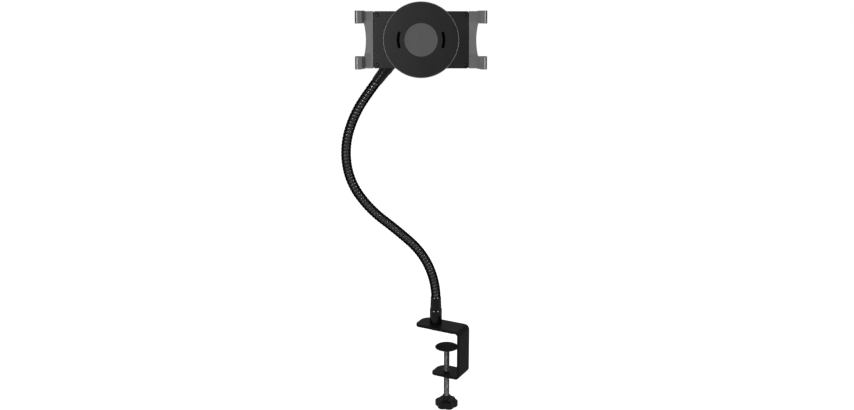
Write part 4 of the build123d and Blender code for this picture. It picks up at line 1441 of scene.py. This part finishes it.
class MOUNT_OT_arms(bpy.types.Operator):
    """Draw both sliding arms: end bar, rails, rack, peg and two hooks with their ribbed grips"""

    bl_idname = "mount.arms"
    bl_label = "Sliding arms"

    lip_width = 8.9
    lip_thickness = 2.0
    wall = 3.6
    chamfer = 2.2
    hook_depth = 4.5
    hook_gap = 0.05
    hook_edge = 0.5
    grip = 1.2
    grip_front = 1.0
    grip_margin = 0.25
    rib_margin = 3.0
    rib_count = 7
    rib_pitch = 0.85
    rib_width = 0.5
    rib_depth = 0.16
    bead_margin = 0.9
    bead_inset = 2.3
    bead_width = 1.5
    bead_height = 1.4
    bead_sink = 0.2
    bar_corner = 0.8
    bar_edge = 0.6
    rail_length = 64.0
    rail_half = 5.5
    rail_back = -8.6
    rail_front = -3.6
    rail_edge = 0.4
    overlap = 1.0
    peg_radius = 1.2
    peg_spot = 18
    peg_back = -13.4
    peg_front = -8.0
    rack_end = -52.0
    rack_low = -16.5
    first_tooth = 3
    last_tooth = -16

    # Where a tooth's root and tip are, and half its width there
    tooth_root = (-9.25, 1.178)
    tooth_tip = (-7.1, 0.395)

    def execute(self, context):
        sizes = context.scene.mount_arms
        half = context.scene.mount_holder.height / 2 / MM
        centre = half + (sizes.overhang - sizes.hook_length / 2) / MM
        reach = sizes.hook_length / 2 / MM
        for side, turn in (("right", 0.0), ("left", math.pi)):
            place, body = holder_place @ Matrix.Rotation(turn, 4, "Z"), f"{side}_arm"
            parts = [self.end_bar(sizes, half), *self.rails(sizes), self.rack(sizes), self.peg(sizes)]
            for hook in self.both_ends("hook", self.hook_section(sizes), centre, reach):
                parts.append(soften(hook, self.hook_edge, segments=3, angle=50))
            settle(join(*parts), place, body, "arm_plastic", f"{side}_arm", angle=40)
            lining, length = self.grip_section(sizes), reach - self.grip_margin
            grips = self.both_ends("ribbed_grip", lining, centre, length, segments=3)
            settle(join(*grips), place, body, "grip_rubber", f"{side}_grips", angle=50)
            # The beads' paler colour is a painted highlight along each hook's outer edge.
            bead, length = self.bead_section(sizes), reach - self.bead_margin
            beads = self.both_ends("grip_bead", bead, centre, length)
            settle(join(*beads), place, body, "grip_rubber", look="grip_edge")
        return {"FINISHED"}

    def both_ends(self, name, section, centre, reach, segments=4):
        """The section pulled across at both ends of the arm, as far as reach to each side, in mm."""
        middles = (-centre, centre)
        return [drawn_across(name, section, y - reach, y + reach, segments) for y in middles]

    def end_bar(self, sizes, half):
        """The bar across the end of the holder, drawn in between its hooks."""
        inner, outer = sizes.inner / MM, (sizes.inner + sizes.bar_width) / MM
        shoulder = half + (sizes.overhang - sizes.hook_length) / MM
        draw = sizes.waist / MM
        waist = [(outer - draw * (1 - share**2), shoulder * share) for share in even_shares(8)]
        corner = self.bar_corner
        points = [(inner, -half, corner), (outer, -half, corner), *waist]
        points += [(outer, half, corner), (inner, half, corner)]
        bar = extruded("end_bar", points, -sizes.back / MM, -sizes.front / MM)
        return soften(bar, self.bar_edge, segments=3, angle=50)

    def rails(self, sizes):
        """The two rails that slide in the holder."""
        start, end = sizes.inner / MM - self.rail_length, sizes.inner / MM + self.overlap
        rails = []
        for y in (-sizes.rail_offset / MM, sizes.rail_offset / MM):
            near = (start, y - self.rail_half, self.rail_back)
            far = (end, y + self.rail_half, self.rail_front)
            rails.append(soften(block("rail", near, far), self.rail_edge))
        return rails

    def rack(self, sizes):
        """The toothed bar, module 1, that meets the pinion from below."""
        end = sizes.inner / MM + self.overlap
        (root, root_half), (tip, tip_half) = self.tooth_root, self.tooth_tip
        points = [(self.rack_end, self.rack_low), (end, self.rack_low), (end, root)]
        for index in range(self.first_tooth, self.last_tooth - 1, -1):
            x = index * math.pi
            points += [(x + root_half, root), (x + tip_half, tip)]
            points += [(x - tip_half, tip), (x - root_half, root)]
        return extruded("rack", points + [(self.rack_end, root)], self.rail_back, self.rail_front)

    def peg(self, sizes):
        """The peg that holds the end of the arm's spring."""
        spot = (self.peg_spot, -sizes.rail_offset / MM)
        return round_bar("spring_peg", self.peg_radius, self.peg_back, self.peg_front, spot, vertices=24)

    def hook_section(self, sizes):
        """A hook from the side: its wall outside the tablet and its lip over the tablet's edge."""
        reach, lip, front = sizes.reach / MM, sizes.lip_back / MM, -sizes.front / MM
        start = (sizes.inner + sizes.bar_width) / MM - self.overlap
        top, foot, back = lip + self.lip_thickness, front - self.hook_gap, front - self.hook_depth
        tip, wall, chamfer = reach - self.lip_width, reach - self.wall, self.chamfer
        return [
            (start, back), (reach, back, 2.2), (reach, top - chamfer), (reach - chamfer, top),
            (tip, top, 0.5), (tip, lip, 0.4), (wall, lip, 0.7), (wall, foot, 0.6), (start, foot),
        ]

    def bead_section(self, sizes):
        """The raised bead along the outer side of a grip, which carries the painted highlight."""
        outer, top = sizes.reach / MM - self.bead_inset, sizes.lip_back / MM + self.lip_thickness
        inner, low, high = outer - self.bead_width, top - self.bead_sink, top + self.bead_height
        return [(outer, low), (outer, high, 0.4), (inner, high, 0.4), (inner, low)]

    def grip_section(self, sizes):
        """The lining of a hook, with fine ribs on the face of its lip."""
        reach, lip, front = sizes.reach / MM, sizes.lip_back / MM, -sizes.front / MM
        wall, tip, top = reach - self.wall, reach - self.lip_width, lip + self.lip_thickness
        face, outer = top + self.grip_front, reach - self.rib_margin
        points = [(wall, front), (wall, lip), (tip, lip), (tip, top), (outer, top), (outer, face)]
        for index in range(self.rib_count):
            x = outer - self.rib_width - self.rib_pitch * index
            groove = (x - self.rib_width / 2, face - self.rib_depth)
            points += [(x, face), groove, (x - self.rib_width, face)]
        points += [(tip - self.grip, face, 0.4), (tip - self.grip, lip - self.grip, 0.4)]
        return points + [(wall - self.grip, lip - self.grip), (wall - self.grip, front)]


# Stage


def seen_rays(tree):
    """1 for rays from the camera and for reflected and refracted ones, and 0 for all others."""
    paths = tree.add("ShaderNodeLightPath").outputs
    seen = tree.math("ADD", paths["Is Camera Ray"], paths["Is Glossy Ray"])
    return tree.math("MINIMUM", tree.math("ADD", seen, paths["Is Transmission Ray"]), 1.0)


class MOUNT_OT_stage(bpy.types.Operator):
    """Lay the pale floor and set the world, the lamps and the camera"""

    bl_idname = "mount.stage"
    bl_label = "Stage"

    # The plate lowers by 34 mm at most, and the knob has to stay above the floor then
    floor_drop = 36.0
    floor_size = 30
    floor_glow = 0.90
    floor_grey = 0.36
    room_level = 0.3

    # Name, azimuth and elevation in degrees, distance and size in metres, power in watts
    lamp_table = (
        ("key_lamp", -15, 11, 2.2, 0.35, 21.0),
        ("left_lamp", -34, -3, 1.3, 0.08, 4.0),
        ("right_lamp", 50, -1, 1.3, 0.08, 4.0),
        ("rear_lamp", 172, 34, 1.6, 0.5, 12.0),
    )

    camera_spot = (-0.03128, -1.96471, 0.84277)
    camera_down = 18
    lens = 56.91

    def execute(self, context):
        self.floor()
        self.world(context.scene)
        self.lamps(context.scene)
        self.camera(context.scene)
        context.scene.view_settings.view_transform = "Standard"
        return {"FINISHED"}

    def floor(self):
        """A pale floor that the eye sees as white, and that throws little light on the mount."""
        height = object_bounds()[0].z - self.floor_drop * MM
        deselect()
        bpy.ops.mesh.primitive_plane_add(size=self.floor_size, location=(0, 0, height))
        floor = bpy.context.object
        floor.name = "floor"
        floor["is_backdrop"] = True
        material = bpy.data.materials.new("pale_floor")
        material.use_nodes = True
        tree = Tree(material.node_tree)
        tree.tree.nodes.clear()
        strength = tree.math("MULTIPLY", seen_rays(tree), self.floor_glow)
        glow = tree.add("ShaderNodeEmission", Strength=strength)
        cloth = tree.add("ShaderNodeBsdfDiffuse", Color=(*[self.floor_grey] * 3, 1.0))
        both = tree.add("ShaderNodeAddShader")
        tree.put(glow.outputs[0], both.inputs[0])
        tree.put(cloth.outputs[0], both.inputs[1])
        tree.put(both.outputs[0], tree.add("ShaderNodeOutputMaterial").inputs["Surface"])
        floor.data.materials.append(material)

    def world(self, scene):
        """A world that the eye sees as white, and that lights the mount with room_level."""
        world = bpy.data.worlds.new("studio")
        world.use_nodes = True
        tree = Tree(world.node_tree)
        tree.tree.nodes.clear()
        rise = 1.0 - self.room_level
        strength = tree.math("MULTIPLY_ADD", seen_rays(tree), rise, self.room_level)
        light = tree.add("ShaderNodeBackground", Color=(1, 1, 1, 1), Strength=strength)
        tree.put(light.outputs[0], tree.add("ShaderNodeOutputWorld").inputs["Surface"])
        scene.world = world

    def lamps(self, scene):
        """Square lamps round the holder, each turned towards it."""
        for name, azimuth, elevation, distance, size, power in self.lamp_table:
            round_z, up = math.radians(azimuth), math.radians(elevation)
            away = Vector((
                math.sin(round_z) * math.cos(up), -math.cos(round_z) * math.cos(up), math.sin(up)
            ))
            data = bpy.data.lights.new(name, "AREA")
            data.shape = "SQUARE"
            data.size = size
            data.energy = power
            lamp = bpy.data.objects.new(name, data)
            lamp.location = holder_place.translation + away * distance
            lamp.rotation_euler = away.to_track_quat("Z", "Y").to_euler()
            scene.collection.objects.link(lamp)

    def camera(self, scene):
        """The camera stands at the photograph's angle: not turned aside, and looking down."""
        data = bpy.data.cameras.new("camera")
        data.sensor_width = 36.0
        data.lens = self.lens
        camera = bpy.data.objects.new("camera", data)
        camera.location = self.camera_spot
        camera.rotation_euler = (math.radians(90 - self.camera_down), 0, 0)
        scene.collection.objects.link(camera)
        scene.camera = camera


STEPS = [
    MOUNT_OT_materials, MOUNT_OT_clamp_bar, MOUNT_OT_rubber_faces, MOUNT_OT_pressure_plate,
    MOUNT_OT_clamp_screw, MOUNT_OT_screw_knob, MOUNT_OT_neck, MOUNT_OT_neck_fittings,
    MOUNT_OT_tilt_fasteners, MOUNT_OT_front_shell, MOUNT_OT_holder_trim, MOUNT_OT_arms, MOUNT_OT_stage,
]


class MOUNT_PT_panel(bpy.types.Panel):
    """Sizes, colours and building steps of the mount"""

    bl_idname = "MOUNT_PT_panel"
    bl_label = "Tablet mount"
    bl_space_type = "VIEW_3D"
    bl_region_type = "UI"
    bl_category = "Mount"

    def draw(self, context):
        for group_name in GROUPS:
            values = getattr(context.scene, group_name)
            box = self.layout.box()
            for name in values.__annotations__:
                box.prop(values, name)
        for step in STEPS:
            self.layout.operator(step.bl_idname)


GROUPS = {
    "mount_clamp": ClampSizes,
    "mount_neck": NeckSizes,
    "mount_holder": HolderSizes,
    "mount_arms": ArmSizes,
    "mount_colours": FinishColours,
}


def register():
    for values in GROUPS.values():
        bpy.utils.register_class(values)
    for name, values in GROUPS.items():
        setattr(bpy.types.Scene, name, PointerProperty(type=values))
    for step in STEPS:
        bpy.utils.register_class(step)
    bpy.utils.register_class(MOUNT_PT_panel)


def unregister():
    bpy.utils.unregister_class(MOUNT_PT_panel)
    for step in reversed(STEPS):
        bpy.utils.unregister_class(step)
    for name, values in GROUPS.items():
        delattr(bpy.types.Scene, name)
        bpy.utils.unregister_class(values)


def main():
    register()
    for step in STEPS:
        kind, name = step.bl_idname.split(".")
        getattr(getattr(bpy.ops, kind), name)()


if __name__ == "__main__":
    main()
